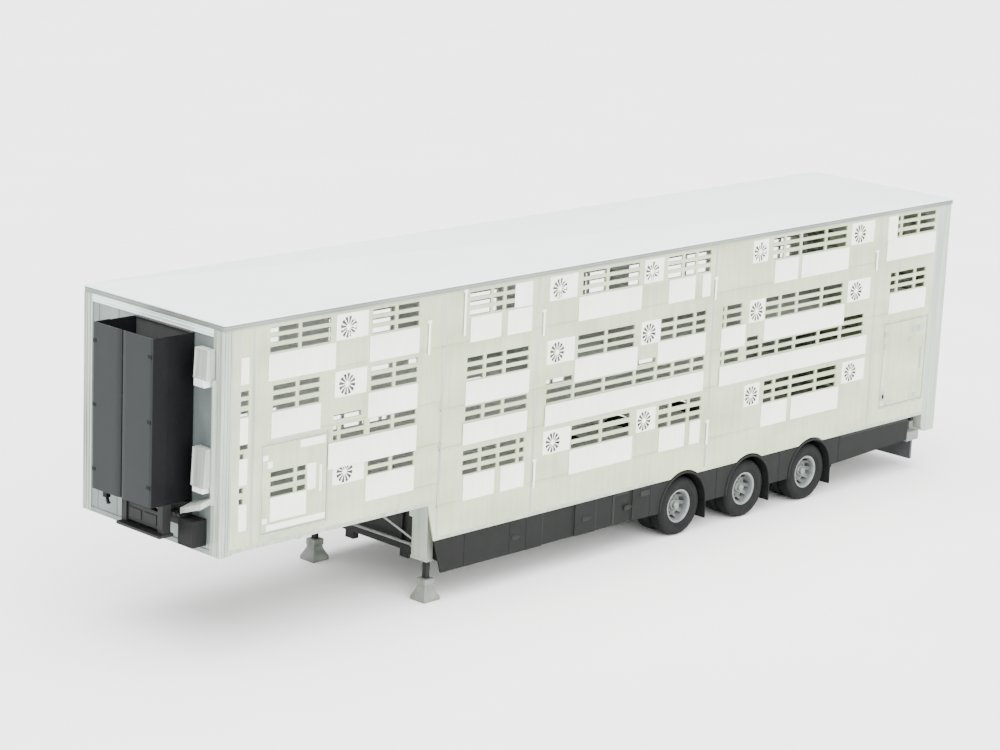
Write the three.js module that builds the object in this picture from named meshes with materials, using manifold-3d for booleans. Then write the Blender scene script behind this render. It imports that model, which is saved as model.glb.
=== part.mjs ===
// Livestock semi-trailer: a three-axle, multi-deck body with ventilated side
// walls, a power unit on its front bulkhead, landing legs under the gooseneck
// and a drop-down loading ramp at the back.
//
// Millimetres. +X points forward, +Y to the left, +Z up. The origin is on the
// ground, under the middle of the trailer's box. Along the body most places are
// given as a distance behind the front face of the bulkhead; x() turns one into
// an X coordinate.

import * as THREE from 'three';
import { mergeVertices } from 'three/addons/utils/BufferGeometryUtils.js';
import Module from 'manifold-3d';

const wasm = await Module();
wasm.setup();

// ---------------------------------------------------------------- dimensions

const BODY_LENGTH = 13680;
const BODY_HEIGHT = 4000;
const ROOF_HALF_WIDTH = 1275;
const UNIT_DEPTH = 620;             // power unit, ahead of the bulkhead
const GAP = 0.5;                    // between pieces that only touch

const FRONT = (BODY_LENGTH + UNIT_DEPTH) / 2 - UNIT_DEPTH;
const REAR = FRONT - BODY_LENGTH;

const WALL_FACE = 1250;             // outer face of a side wall, from the middle
const WALL_THICK = 22;
const WALL_INSIDE = WALL_FACE - WALL_THICK;
const ROOF_EDGE = 80;               // depth of the roof's edge beam
const WALL_TOP = BODY_HEIGHT - ROOF_EDGE - GAP;

const POST_DEPTH = 150;             // front corner post, along X
const REAR_POST_DEPTH = 320;
const REAR_POST_FOOT = 560;
const NECK_REAR = 3300;             // where the gooseneck ends
const STEP_REAR = 3420;             // where the low body's walls start
const RISER = 3650;                 // the step of the floor between them
const NECK_FOOT = 1300;             // underside of the gooseneck's walls
const BODY_FOOT = 830;              // underside of the low body's walls
const NECK_FLOOR = 1340;
const BODY_FLOOR = 836;
const FLOOR_THICK = 14;

const AXLES = [8070, 9420, 10770];
const WHEEL_RADIUS = 398;
const WHEEL_SIDES = 20;
const RIM_SIDES = 12;
const TYRE_WIDTH = 245;
const OUTER_TYRE_Y = 1095;
const TWIN_SPACING = 275;
const ARCH_CENTRE = 420;            // height of the mudguards' centre
const ARCH_INSIDE = 445;
const ARCH_OUTSIDE = 475;
const ARCH_NOTCH = 490;             // notch cut for them in walls and floor

const RAIL_Y = 500;                 // chassis rails, either side of the middle
const RAIL_WIDTH = 36;
const NECK_RAIL = [1215, 1335];
const BODY_RAIL = [580, 810];
const RAIL_FRONT = 170;
const RAIL_REAR = 13300;
const NECK_CROSS = [200, 1250, 2300];           // cross members, behind the bulkhead
const BODY_CROSS = [4650, 5800, 6950, 11500, 12400, 13200];
const CROSS_SIZE = 60;
const RAIL_RISE = 70;               // length of the rails' upright part at the step
const RAIL_SHOE = { length: 90, halfWidth: 75, foot: 390 };
const FRONT_PLATE = { halfWidth: 1180, thick: 20, foot: 500 };
const FLOOR_FRONT = 160;
const FLOOR_REAR = 13350;

const KINGPIN = 1450;
const KINGPIN_PLATE = { reach: 500, halfWidth: 540, thick: 14 };

// The trailing arms, their hanger brackets on the chassis and the air springs'
// pistons, along X from each axle and up from the ground.
const ARM = { rear: -330, front: 430, halfWidth: 40, foot: 418, head: 470 };
const HANGER = { rear: 370, front: 440, inner: 43, outer: 58, foot: 390, head: 560 };
const PISTON = { along: -240, radius: 75, head: 490 };
const AXLE_RADIUS = 64;

const FAN_COLUMNS = [1900, 5460, 7190, 9370, 11550];
const FAN_HOLE = 150;
const FAN_RADIUS = 134;
const FAN_BLADES = 6;

const SHUTTER_THICK = 8;
const SHUTTER_GAP = 2;              // between wall and shutter, and between layers
const SHUTTER_RAIL = 15;            // height of the rail that links a row
const SHUTTER_STEP = 3450;          // where a row's rail steps down to the low body

// Window rows. Each window is [from, to, posts...]: it runs from one distance
// behind the bulkhead to another, with a post at each further distance. neck and
// body give the sill and head of the windows ahead of and behind the step.
// Shutters are [from, to], and hang below their windows from foot to head.
const ROWS = {
  top: {
    neck: [3580, 3880], body: [3570, 3880], fans: [3720, 3720], layer: 0,
    windows: [[700, 1620, 1150], [2280, 3030, 2660], [3880, 4960, 4260, 4480],
      [5880, 6940, 6340], [7500, 8350, 7800, 8070],
      [9650, 11250, 9895, 10240, 10785], [12420, 13310, 12505, 12915]],
    shutters: [[680, 1700], [2240, 3040], [3900, 4430], [4540, 4970], [5820, 7000],
      [7530, 8050], [8200, 8360], [9700, 10200], [10280, 11320], [12200, 13340]],
    neckShutter: [3250, 3560], bodyShutter: [3250, 3560],
  },
  upper: {
    neck: [2890, 3180], body: [2770, 3070], fans: [3040, 2905], layer: 0,
    windows: [[760, 1470, 1130], [2280, 3030, 2650], [3870, 4950, 4175, 4520],
      [5840, 6910, 6365], [7420, 8320, 7705, 8095], [8660, 9060, 8720],
      [9560, 11240, 9865, 10230, 10775], [12340, 13170, 12495, 12915]],
    shutters: [[740, 1490], [2240, 3040], [3860, 4970], [5800, 6980], [7380, 8330],
      [8650, 9150], [9550, 11300], [12340, 13200]],
    neckShutter: [2570, 2875], bodyShutter: [2465, 2760],
  },
  lower: {
    neck: [2380, 2560], body: [2250, 2450], fans: null, layer: 1,
    windows: [[1700, 2190, 1790], [2280, 3030], [3870, 4950, 4175, 4520],
      [5300, 8330, 5790, 6360, 6950, 7365, 7700, 8085],
      [8660, 9050, 8720], [9200, 11770, 9505, 9855, 10230, 10760, 11250]],
    shutters: [[1620, 3040], [3830, 4950], [5280, 8320], [8650, 11850]],
    neckShutter: [2050, 2365], bodyShutter: [1970, 2240],
  },
  bottom: {
    neck: [1870, 2045], body: [1580, 1895], fans: [1980, 1735], layer: 0,
    windows: [[2270, 3020, 2640], [3860, 4940, 4155, 4475, 4825], [5800, 6910, 6355],
      [7470, 8320, 7695, 8065], [9630, 11220, 9850, 10210, 10765]],
    shutters: [[2240, 3030], [3880, 4420], [4530, 4950], [5780, 6970], [7500, 8010],
      [8110, 8320], [9600, 10150], [10250, 11300]],
    neckShutter: [1550, 1860], bodyShutter: [1255, 1570],
  },
};
const WINDOW_POST = 50;
const LONG_WINDOW = 1250;

const FRONT_DOOR = { from: 620, to: 1620, foot: 1450, head: 2500 };
const FRONT_DOOR_WINDOW = [[750, 1105], [1155, 1290]];
const FRONT_DOOR_WINDOW_Z = [1870, 2170];
const REAR_DOOR = { from: 12300, to: 13300, foot: 1100, head: 2320 };
const DOOR_THICK = 18;
const DOOR_CLEARANCE = 6;
const DOOR_SHUTTER = { ends: [750, 1300], heights: [1580, 1862] };
const DOOR_HINGE = { inset: 10, width: 80, height: 60, proud: 14, foot: 120, head: 180 };
const DOOR_LATCH = { inset: 80, width: 40, reach: 160, proud: 18 };

const LEG = { along: 3535, across: 1016, tube: 68, travelTop: 1000, footTop: 280 };
const LEG_HOUSING = { length: 110, inner: 800, outer: 1071, bore: 74, foot: 500, top: 1296 };

const UNIT = { right: -280, left: 770, foot: 1870, head: 3830, wall: 12, door: 26 };
const UNIT_SPLIT = 230;             // where the power unit's two doors meet
const UNIT_SPLIT_GAP = 8;           // from there to each door
const UNIT_HINGES = [2110, 2870, 3620];
const UNIT_HINGE = { width: 70, height: 50, proud: 4, inset: 6 };
// The step bracket under the power unit. Depths are ahead of the bulkhead.
const STEP_POSTS = { depth: [300, 420], across: [[20, 110], [670, 760]], foot: 1500 };
const STEP_TREAD = { depth: [270, 480], across: [0, 780], heights: [1490, 1525] };
const STEP_BOX = { depth: [310, 400], across: [105, 675], heights: [1560, 1770] };
const SOCKET_BOX = { depth: 210, across: [780, 1030], heights: [1390, 1700] };

const SKIRT = { front: 3422, toe: 3555, foot: 395, frontEnd: 7400, link: 400,
  backStart: 11280, backFoot: 430, backEnd: 13040, backEndFoot: 500 };
const GUARD = { inner: 690, outer: 1262, flapFoot: 165, droop: 0.06 };
const UNDERRUN = { ends: [13210, 13250], halfWidth: 1200, heights: [170, 450],
  hangerEnds: [13200, 13290], hangerFoot: 300 };
const CROSS_SHAFT = { height: 640, radius: 22 };
const LEG_BRACE = { foot: 680, head: [2990, 540, 1190], radius: 20 };

const RAMP = { halfWidth: 1050, foot: 832, head: 3750, thick: 60, skin: 12 };
const DECK = { from: 4650, to: 13250, halfWidth: 1195, top: 2650, skin: 12, beam: 60 };

// ------------------------------------------------------------------- helpers

const x = (behindBulkhead) => FRONT - behindBulkhead;

function block([x0, x1], [y0, y1], [z0, z1]) {
  const box = new THREE.BoxGeometry(Math.abs(x1 - x0), Math.abs(y1 - y0), Math.abs(z1 - z0));
  return box.translate((x0 + x1) / 2, (y0 + y1) / 2, (z0 + z1) / 2);
}

// A block given by distances behind the bulkhead in place of X.
const piece = ([from, to], ys, zs) => block([x(to), x(from)], ys, zs);

function cylinder(radius, length, sides = 16) {
  return new THREE.CylinderGeometry(radius, radius, length, sides);
}

// A rod of the given radius from one point to another.
function rod(start, end, radius, sides = 10) {
  const a = new THREE.Vector3(...start);
  const b = new THREE.Vector3(...end);
  const along = b.clone().sub(a);
  const turn = new THREE.Quaternion().setFromUnitVectors(
    new THREE.Vector3(0, 1, 0), along.clone().normalize());
  const middle = a.add(b).multiplyScalar(0.5);
  return cylinder(radius, along.length(), sides).applyQuaternion(turn)
    .translate(middle.x, middle.y, middle.z);
}

function outline(points) {
  return new THREE.Shape(points.map(([a, b]) => new THREE.Vector2(a, b)));
}

// A plate whose outline is drawn in X and Z, as thick as the two Y values say.
function sidePlate(shape, [y0, y1], curveSegments = 6) {
  const plate = new THREE.ExtrudeGeometry(shape,
    { depth: y1 - y0, bevelEnabled: false, curveSegments });
  return plate.rotateX(Math.PI / 2).translate(0, y1, 0);
}

function toSolid(geometry) {
  const bare = geometry.clone();
  bare.deleteAttribute('normal');
  bare.deleteAttribute('uv');
  const merged = mergeVertices(bare, 1e-3);
  return new wasm.Manifold(new wasm.Mesh({
    numProp: 3,
    vertProperties: new Float32Array(merged.attributes.position.array),
    triVerts: new Uint32Array(merged.index.array),
  }));
}

function toGeometry(solid) {
  const mesh = solid.getMesh();
  const geometry = new THREE.BufferGeometry();
  geometry.setAttribute('position', new THREE.BufferAttribute(mesh.vertProperties, 3));
  geometry.setIndex(new THREE.BufferAttribute(mesh.triVerts, 1));
  geometry.computeVertexNormals();
  return geometry;
}

const fuse = (geometries) =>
  toGeometry(geometries.map(toSolid).reduce((whole, next) => whole.add(next)));

const cut = (geometry, tools) =>
  toGeometry(tools.map(toSolid).reduce((whole, next) => whole.subtract(next), toSolid(geometry)));

const side = (name) => (name === 'left' ? 1 : -1);

// The Y span between two distances from the middle, on one side of the trailer.
const span = (sign, inner, outer) => (sign > 0 ? [inner, outer] : [-outer, -inner]);

// ----------------------------------------------------------------- materials

const paint = (color, roughness, metalness) =>
  new THREE.MeshStandardMaterial({ color, roughness, metalness });

const MATERIALS = {
  aluminium: paint(0xd0d2c8, 0.45, 0.6),
  roofSheet: paint(0xe7efed, 0.5, 0.2),
  shutter: paint(0xebeee6, 0.5, 0.1),
  blackPaint: paint(0x2a2c2a, 0.5, 0.2),
  skirt: paint(0x525452, 0.6, 0.1),
  unitPaint: paint(0x686c6c, 0.5, 0.2),
  tyre: paint(0x494d4c, 0.85, 0),
  rim: paint(0x9ba09e, 0.4, 0.7),
  galvanised: paint(0xbec4be, 0.45, 0.7),
  fan: paint(0xe6e9e1, 0.5, 0.1),
};

const trailer = new THREE.Group();

function add(name, geometry, material, position = [0, 0, 0]) {
  const mesh = new THREE.Mesh(geometry, material);
  mesh.name = name;
  mesh.position.set(...position);
  trailer.add(mesh);
}

// ---------------------------------------------------------- chassis and floor

// Two rails with cross members, stepped down behind the gooseneck. The cross
// members stop a little below the rails' tops.
function chassisFrame() {
  const parts = [];
  const half = RAIL_WIDTH / 2;
  const wide = WALL_INSIDE - 50;
  const narrow = RAIL_Y + 100;
  const cross = (at, reach, [, head]) =>
    piece([at, at + CROSS_SIZE], [-reach, reach], [head - CROSS_SIZE - 12, head - 2]);
  for (const y of [-RAIL_Y, RAIL_Y]) {
    const ys = [y - half, y + half];
    parts.push(piece([RAIL_FRONT, RISER - 5], ys, NECK_RAIL));
    parts.push(piece([RISER - RAIL_RISE, RAIL_REAR], ys, BODY_RAIL));
    parts.push(piece([RISER - RAIL_RISE + 5, RISER - 5], ys,
      [BODY_RAIL[0] + 5, NECK_RAIL[1] - 5]));
    parts.push(piece([RISER, RISER + RAIL_SHOE.length],
      [y - RAIL_SHOE.halfWidth, y + RAIL_SHOE.halfWidth], [RAIL_SHOE.foot, BODY_RAIL[0] + 5]));
  }
  for (const at of NECK_CROSS) parts.push(cross(at, wide, NECK_RAIL));
  for (const at of BODY_CROSS) parts.push(cross(at, wide, BODY_RAIL));
  for (const at of AXLES) parts.push(cross(at - CROSS_SIZE / 2, narrow, BODY_RAIL));
  // The plate that closes the front of the low body, under the gooseneck.
  const plateRear = RISER - 10;
  parts.push(piece([plateRear - FRONT_PLATE.thick, plateRear],
    [-FRONT_PLATE.halfWidth, FRONT_PLATE.halfWidth], [FRONT_PLATE.foot, NECK_RAIL[1] - 2]));
  for (const at of AXLES) parts.push(...hangers(at));
  return fuse(parts);
}

// The two hanger brackets of an axle: each has a cheek on either side of the
// trailing arm's eye and a plate across them under the rail.
function hangers(at) {
  const { rear, front, inner, outer, foot, head } = HANGER;
  const ends = [at - front, at - rear];
  const parts = [];
  for (const y of [-RAIL_Y, RAIL_Y]) {
    parts.push(piece(ends, [y - outer, y + outer], [head, BODY_RAIL[0] + 5]));
    for (const sign of [-1, 1]) {
      const cheek = span(sign, inner, outer - 2).map((reach) => y + reach);
      parts.push(piece([ends[0] + 2, ends[1] - 2], cheek, [foot, head + 5]));
    }
  }
  return parts;
}

function kingpinPlate() {
  const { reach, halfWidth, thick } = KINGPIN_PLATE;
  const top = NECK_RAIL[0] - GAP;
  const at = x(KINGPIN);
  const plate = piece([KINGPIN - reach, KINGPIN + reach], [-halfWidth, halfWidth], [top - thick, top]);
  const profile = [[0, 0], [36, 0], [36, 18], [25.4, 18], [25.4, 52], [36, 52], [36, 100], [0, 100]];
  const pin = new THREE.LatheGeometry(profile.map(([r, z]) => new THREE.Vector2(r, z)), 16);
  pin.rotateX(Math.PI / 2).translate(at, 0, top - 96);
  return fuse([plate, pin]);
}

// A cylinder across the trailer at each wheel, to notch what the tyres need.
function wheelWells(radius, [y0, y1], sides = 24) {
  return AXLES.map((at) => cylinder(radius, y1 - y0, sides)
    .translate(x(at), (y0 + y1) / 2, ARCH_CENTRE));
}

function floor() {
  const neckTop = NECK_FLOOR + FLOOR_THICK;
  const bodyTop = BODY_FLOOR + FLOOR_THICK;
  const step = outline([
    [x(FLOOR_FRONT), NECK_FLOOR], [x(FLOOR_FRONT), neckTop], [x(RISER + FLOOR_THICK), neckTop],
    [x(RISER + FLOOR_THICK), bodyTop], [x(FLOOR_REAR), bodyTop], [x(FLOOR_REAR), BODY_FLOOR],
    [x(RISER), BODY_FLOOR], [x(RISER), NECK_FLOOR],
  ]);
  const edge = WALL_INSIDE - 2;
  return cut(sidePlate(step, [-edge, edge]),
    [...wheelWells(ARCH_NOTCH, [660, 1300]), ...wheelWells(ARCH_NOTCH, [-1300, -660])]);
}

// ----------------------------------------------------------------- side walls

function wallOutline() {
  const from = x(POST_DEPTH + 2);
  const to = x(BODY_LENGTH - REAR_POST_DEPTH - 2);
  const rise = Math.asin((BODY_FOOT - ARCH_CENTRE) / ARCH_NOTCH);
  const shape = new THREE.Shape();
  shape.moveTo(to, WALL_TOP);
  shape.lineTo(to, BODY_FOOT);
  for (const at of [...AXLES].reverse()) {
    shape.absarc(x(at), ARCH_CENTRE, ARCH_NOTCH, Math.PI - rise, rise, true);
  }
  shape.lineTo(x(STEP_REAR), BODY_FOOT);
  shape.lineTo(x(NECK_REAR), NECK_FOOT);
  shape.lineTo(from, NECK_FOOT);
  shape.lineTo(from, WALL_TOP);
  return shape;
}

const onNeck = (at) => at < NECK_REAR;

// A long window is left as the panes between its posts. In a short one the
// posts are thin strips that stand in one opening, and aren't part of the wall.
function panes([from, to, ...posts]) {
  if (to - from < LONG_WINDOW) return [[from, to]];
  const edges = [from, ...posts.flatMap((at) => [at - WINDOW_POST / 2, at + WINDOW_POST / 2]), to];
  const found = [];
  for (let i = 0; i < edges.length; i += 2) found.push([edges[i], edges[i + 1]]);
  return found;
}

function windowCutters(through) {
  const cutters = [];
  for (const row of Object.values(ROWS)) {
    for (const window of row.windows) {
      const heights = onNeck(window[0]) ? row.neck : row.body;
      for (const ends of panes(window)) cutters.push(piece(ends, through, heights));
    }
  }
  return cutters;
}

const doorCutter = ({ from, to, foot, head }, through) => piece([from, to], through, [foot, head]);

function fanPlaces() {
  const places = [];
  for (const [rowName, row] of Object.entries(ROWS)) {
    if (!row.fans) continue;
    FAN_COLUMNS.forEach((at, column) => {
      const height = onNeck(at) ? row.fans[0] : row.fans[1];
      places.push({ name: `fan_${rowName}_${column + 1}`, at, height });
    });
  }
  return places;
}

function fanCutter({ at, height }) {
  return cylinder(FAN_HOLE, 4 * WALL_THICK, 12).translate(x(at), WALL_FACE, height);
}

function sideWall(sign) {
  const through = span(sign, WALL_INSIDE - 10, WALL_FACE + 10);
  const cutters = windowCutters(through);
  if (sign > 0) {
    cutters.push(...fanPlaces().map(fanCutter));
    cutters.push(doorCutter(FRONT_DOOR, through), doorCutter(REAR_DOOR, through));
  }
  return cut(sidePlate(wallOutline(), span(sign, WALL_INSIDE, WALL_FACE)), cutters);
}

// ------------------------------------------------- shutters, doors and fans

// One row's shutters, linked by a rail along their feet that steps with them.
function shutterRow(row, sign) {
  const inner = WALL_FACE + SHUTTER_GAP + row.layer * (SHUTTER_THICK + SHUTTER_GAP);
  const ys = span(sign, inner, inner + SHUTTER_THICK);
  const parts = row.shutters.map(([from, to]) =>
    piece([from, to], ys, onNeck(from) ? row.neckShutter : row.bodyShutter));
  const first = row.shutters[0][0];
  const last = row.shutters[row.shutters.length - 1][1];
  const neckFoot = row.neckShutter[0];
  const bodyFoot = row.bodyShutter[0];
  parts.push(piece([first, SHUTTER_STEP], ys, [neckFoot, neckFoot + SHUTTER_RAIL]));
  parts.push(piece([SHUTTER_STEP - SHUTTER_RAIL, last], ys, [bodyFoot, bodyFoot + SHUTTER_RAIL]));
  parts.push(piece([SHUTTER_STEP - SHUTTER_RAIL, SHUTTER_STEP], ys,
    [bodyFoot, neckFoot + SHUTTER_RAIL]));
  return fuse(parts);
}

function doorLeaf({ from, to, foot, head }) {
  const c = DOOR_CLEARANCE;
  return piece([from + c, to - c], [WALL_FACE - DOOR_THICK, WALL_FACE], [foot + c, head - c]);
}

// Hinge knuckles and a latch bar stand on the outside of a side door.
function doorFittings({ from, to, foot, head }) {
  const hinge = DOOR_HINGE;
  const latch = DOOR_LATCH;
  const ends = [from + hinge.inset, from + hinge.inset + hinge.width];
  const fittings = [foot + hinge.foot, head - hinge.head].map((z) =>
    piece(ends, [WALL_FACE - 1, WALL_FACE + hinge.proud], [z, z + hinge.height]));
  const middle = (foot + head) / 2;
  fittings.push(piece([to - latch.inset - latch.width, to - latch.inset],
    [WALL_FACE - 1, WALL_FACE + latch.proud], [middle - latch.reach, middle + latch.reach]));
  return fittings;
}

function frontSideDoor() {
  const shutter = piece(DOOR_SHUTTER.ends, [WALL_FACE - 1, WALL_FACE + SHUTTER_THICK],
    DOOR_SHUTTER.heights);
  const windows = FRONT_DOOR_WINDOW.map((ends) =>
    piece(ends, [WALL_FACE - 40, WALL_FACE + 40], FRONT_DOOR_WINDOW_Z));
  return cut(fuse([doorLeaf(FRONT_DOOR), shutter, ...doorFittings(FRONT_DOOR)]), windows);
}

function rearSideDoor() {
  return fuse([doorLeaf(REAR_DOOR), ...doorFittings(REAR_DOOR)]);
}

// A fan's rotor: blades around a hub, drawn in X and Z.
function fanRotor() {
  const hub = 42;
  const turn = (2 * Math.PI) / FAN_BLADES;
  const points = [];
  for (let blade = 0; blade < FAN_BLADES; blade += 1) {
    const middle = blade * turn;
    for (const [radius, offset] of [[hub, -0.32], [FAN_RADIUS, -0.24], [FAN_RADIUS, 0.24], [hub, 0.32]]) {
      points.push([radius * Math.cos(middle + offset), radius * Math.sin(middle + offset)]);
    }
  }
  return sidePlate(outline(points), [-7, 7]);
}

// ------------------------------------------------ bulkhead, roof, rear frame

function frontBulkhead() {
  const parts = [piece([0, 16], [-1120, 1120], [NECK_FLOOR, WALL_TOP])];
  parts.push(piece([0, 100], [-1120, 1120], [NECK_FLOOR, NECK_FLOOR + 60]));
  for (const sign of [-1, 1]) {
    parts.push(piece([0, POST_DEPTH], span(sign, 1090, 1262), [NECK_FOOT - 20, WALL_TOP]));
  }
  return fuse(parts);
}

function roofOutline(inset, corner) {
  const w = ROOF_HALF_WIDTH - inset;
  const front = FRONT - inset;
  const rear = REAR + inset;
  const shape = new THREE.Shape();
  shape.moveTo(rear, -w);
  shape.lineTo(front - corner, -w);
  shape.absarc(front - corner, -w + corner, corner, -Math.PI / 2, 0, false);
  shape.absarc(front - corner, w - corner, corner, 0, Math.PI / 2, false);
  shape.lineTo(rear, w);
  return shape;
}

function roof() {
  const options = { bevelEnabled: false, curveSegments: 4 };
  const skin = 8;
  const rim = 60;
  const slab = new THREE.ExtrudeGeometry(roofOutline(0, 120), { ...options, depth: ROOF_EDGE })
    .translate(0, 0, BODY_HEIGHT - ROOF_EDGE);
  const hollow = new THREE.ExtrudeGeometry(roofOutline(rim, 90), { ...options, depth: ROOF_EDGE })
    .translate(0, 0, BODY_HEIGHT - ROOF_EDGE - skin);
  return cut(slab, [hollow]);
}

function rearFrame() {
  const depth = [REAR, REAR + REAR_POST_DEPTH];
  const opening = RAMP.halfWidth + 10;
  const whole = cut(block(depth, [-WALL_FACE, WALL_FACE], [REAR_POST_FOOT, WALL_TOP]),
    [block([REAR - 10, FRONT], [-opening, opening], [RAMP.foot - 12, RAMP.head + 10])]);
  // Above the sill's back edge the posts are hollow sections, open inwards.
  const recess = [REAR + 70, REAR + REAR_POST_DEPTH - 12];
  const hollows = [-1, 1].map((sign) =>
    block(recess, span(sign, 1000, WALL_FACE - 20), [RAMP.foot + 40, RAMP.head - 60]));
  const underSill = block([REAR + 20, REAR + REAR_POST_DEPTH - 20], [-WALL_FACE + 60, WALL_FACE - 60],
    [REAR_POST_FOOT - 10, RAMP.foot - 40]);
  return cut(whole, [...hollows, underSill]);
}

function rearRamp() {
  const { halfWidth, foot, head, thick, skin } = RAMP;
  const ribs = 6;
  const width = 50;
  const pitch = (head - foot - width) / ribs;
  const parts = [block([REAR + thick - skin, REAR + thick], [-halfWidth, halfWidth], [foot, head])];
  for (const sign of [-1, 1]) {
    parts.push(block([REAR + 2, REAR + thick - 3], span(sign, halfWidth - width, halfWidth - 2),
      [foot + 2, head - 2]));
  }
  for (let i = 0; i <= ribs; i += 1) {
    const z = foot + i * pitch;
    const ends = [Math.max(z, foot + 4), Math.min(z + width, head - 4)];
    parts.push(block([REAR + 5, REAR + thick - 5], [10 - halfWidth, halfWidth - 10], ends));
  }
  return fuse(parts);
}

function underrunBar() {
  const { ends, halfWidth, heights, hangerEnds, hangerFoot } = UNDERRUN;
  const parts = [piece(ends, [-halfWidth, halfWidth], heights)];
  for (const y of [-RAIL_Y, RAIL_Y]) {
    parts.push(piece(hangerEnds, [y - 50, y + 50], [hangerFoot, BODY_RAIL[0] - GAP]));
  }
  return fuse(parts);
}

function liftingDeck() {
  const { from, to, halfWidth, top, skin, beam } = DECK;
  const beams = 7;
  const width = 50;
  const pitch = (to - from - width) / beams;
  const parts = [piece([from, to], [-halfWidth, halfWidth], [top - skin, top])];
  for (const sign of [-1, 1]) {
    const ys = span(sign, halfWidth - width, halfWidth - 2);
    parts.push(piece([from + 2, to - 2], ys, [top - beam, top - 3]));
  }
  for (let i = 0; i <= beams; i += 1) {
    const at = from + i * pitch;
    const ends = [Math.max(at, from + 4), Math.min(at + width, to - 4)];
    parts.push(piece(ends, [10 - halfWidth, halfWidth - 10], [top - beam + 5, top - 5]));
  }
  return fuse(parts);
}

// -------------------------------------------------------- skirts and mudguards

function mudguard(at, ys) {
  const { flapFoot, droop } = GUARD;
  const shape = new THREE.Shape();
  shape.absarc(x(at), ARCH_CENTRE, ARCH_OUTSIDE, -droop, Math.PI + droop, false);
  shape.absarc(x(at), ARCH_CENTRE, ARCH_INSIDE, Math.PI + droop, -droop, true);
  const flap = piece([at + ARCH_INSIDE + 8, at + ARCH_OUTSIDE - 4], ys, [flapFoot, ARCH_CENTRE]);
  return [sidePlate(shape, ys, 9), flap];
}

function skirt(sign) {
  const { front, toe, foot, frontEnd, link, backStart, backFoot, backEnd, backEndFoot } = SKIRT;
  const top = BODY_FOOT - 4;
  const ys = span(sign, WALL_INSIDE, WALL_FACE - 2);
  const frontPanel = outline([[x(front), top], [x(toe), foot], [x(frontEnd), foot],
    [x(frontEnd), top]]);
  const backPanel = outline([[x(backStart), top], [x(backStart), backFoot],
    [x(backEnd), backEndFoot], [x(backEnd), top]]);
  const panels = fuse([sidePlate(frontPanel, ys), sidePlate(backPanel, ys),
    piece([frontEnd - 10, backStart + 10], ys, [link, top])]);
  const pierced = cut(panels, wheelWells(ARCH_INSIDE + 4, span(sign, 600, 1300)));
  const guardSpan = span(sign, GUARD.inner, GUARD.outer);
  return fuse([pierced, ...AXLES.flatMap((at) => mudguard(at, guardSpan))]);
}

// ------------------------------------------------------------ running gear

// An axle with its trailing arms and the pistons that its air springs stand on.
// The rubber of the springs fills the gap up to the rails and isn't a solid here.
function axle() {
  const parts = [cylinder(AXLE_RADIUS, 2 * (RAIL_Y + 100), 12).translate(0, 0, WHEEL_RADIUS)];
  for (const y of [-RAIL_Y, RAIL_Y]) {
    parts.push(block([ARM.rear, ARM.front], [y - ARM.halfWidth, y + ARM.halfWidth],
      [ARM.foot, ARM.head]));
    const height = PISTON.head - ARM.head + 10;
    parts.push(cylinder(PISTON.radius, height, 12).rotateX(Math.PI / 2)
      .translate(PISTON.along, y, PISTON.head - height / 2));
  }
  return fuse(parts);
}

// Turned shapes for the left side: the axis is Y, measured from the middle of
// the trailer. Radii are given at the corners.
function turned(points, sides, sign) {
  const ordered = sign > 0 ? points : points.map(([r, y]) => [r, -y]).reverse();
  const profile = ordered.map(([r, y]) => new THREE.Vector2(r, y));
  return new THREE.LatheGeometry(profile, sides).rotateY(Math.PI / sides);
}

// The twin rims with their disc, hub and drum, one solid around the wheel axis.
function wheelRims(sign) {
  const seat = 214;
  const flange = 232;
  const outer = OUTER_TYRE_Y + 88;
  const inner = OUTER_TYRE_Y - TWIN_SPACING - 88;
  const disc = OUTER_TYRE_Y - TWIN_SPACING / 2;
  return turned([
    [0, 615], [120, 615], [120, disc - 12], [200, disc - 12], [200, inner], [flange, inner],
    [seat, inner + 14], [seat, outer - 14], [flange, outer], [200, outer], [190, disc + 30],
    [92, disc + 40], [92, 1150], [0, 1150],
  ], RIM_SIDES, sign);
}

function tyre(sign) {
  const corner = 1 / Math.cos(Math.PI / WHEEL_SIDES);
  const tread = WHEEL_RADIUS * corner;
  const w = TYRE_WIDTH / 2;
  const bead = 238;
  const y = OUTER_TYRE_Y;
  return turned([
    [bead, y - w + 36], [bead + 50, y - w], [tread - 50, y - w], [tread, y - w + 34],
    [tread, y + w - 34], [tread - 50, y + w], [bead + 50, y + w], [bead, y + w - 36],
    [bead, y - w + 36],
  ], WHEEL_SIDES, sign);
}

// ------------------------------------------------------------- landing gear

// Both leg housings with the cross shaft's tube and the braces between them.
function landingGearFrame() {
  const { length, inner, outer, bore, foot, top } = LEG_HOUSING;
  const ends = [LEG.along - length / 2, LEG.along + length / 2];
  const housings = [];
  const bores = [];
  const reach = inner + 5;
  const links = [rod([x(LEG.along), -reach, CROSS_SHAFT.height],
    [x(LEG.along), reach, CROSS_SHAFT.height], CROSS_SHAFT.radius)];
  for (const sign of [-1, 1]) {
    const y = sign * LEG.across;
    housings.push(piece(ends, span(sign, inner, outer), [foot, top]));
    bores.push(piece([LEG.along - bore / 2, LEG.along + bore / 2], [y - bore / 2, y + bore / 2],
      [foot - 5, top - 12]));
    const [behind, across, height] = LEG_BRACE.head;
    links.push(rod([x(LEG.along), sign * reach, LEG_BRACE.foot],
      [x(behind), sign * across, height], LEG_BRACE.radius, 8));
  }
  return cut(fuse([...housings, ...links]), bores);
}

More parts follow.
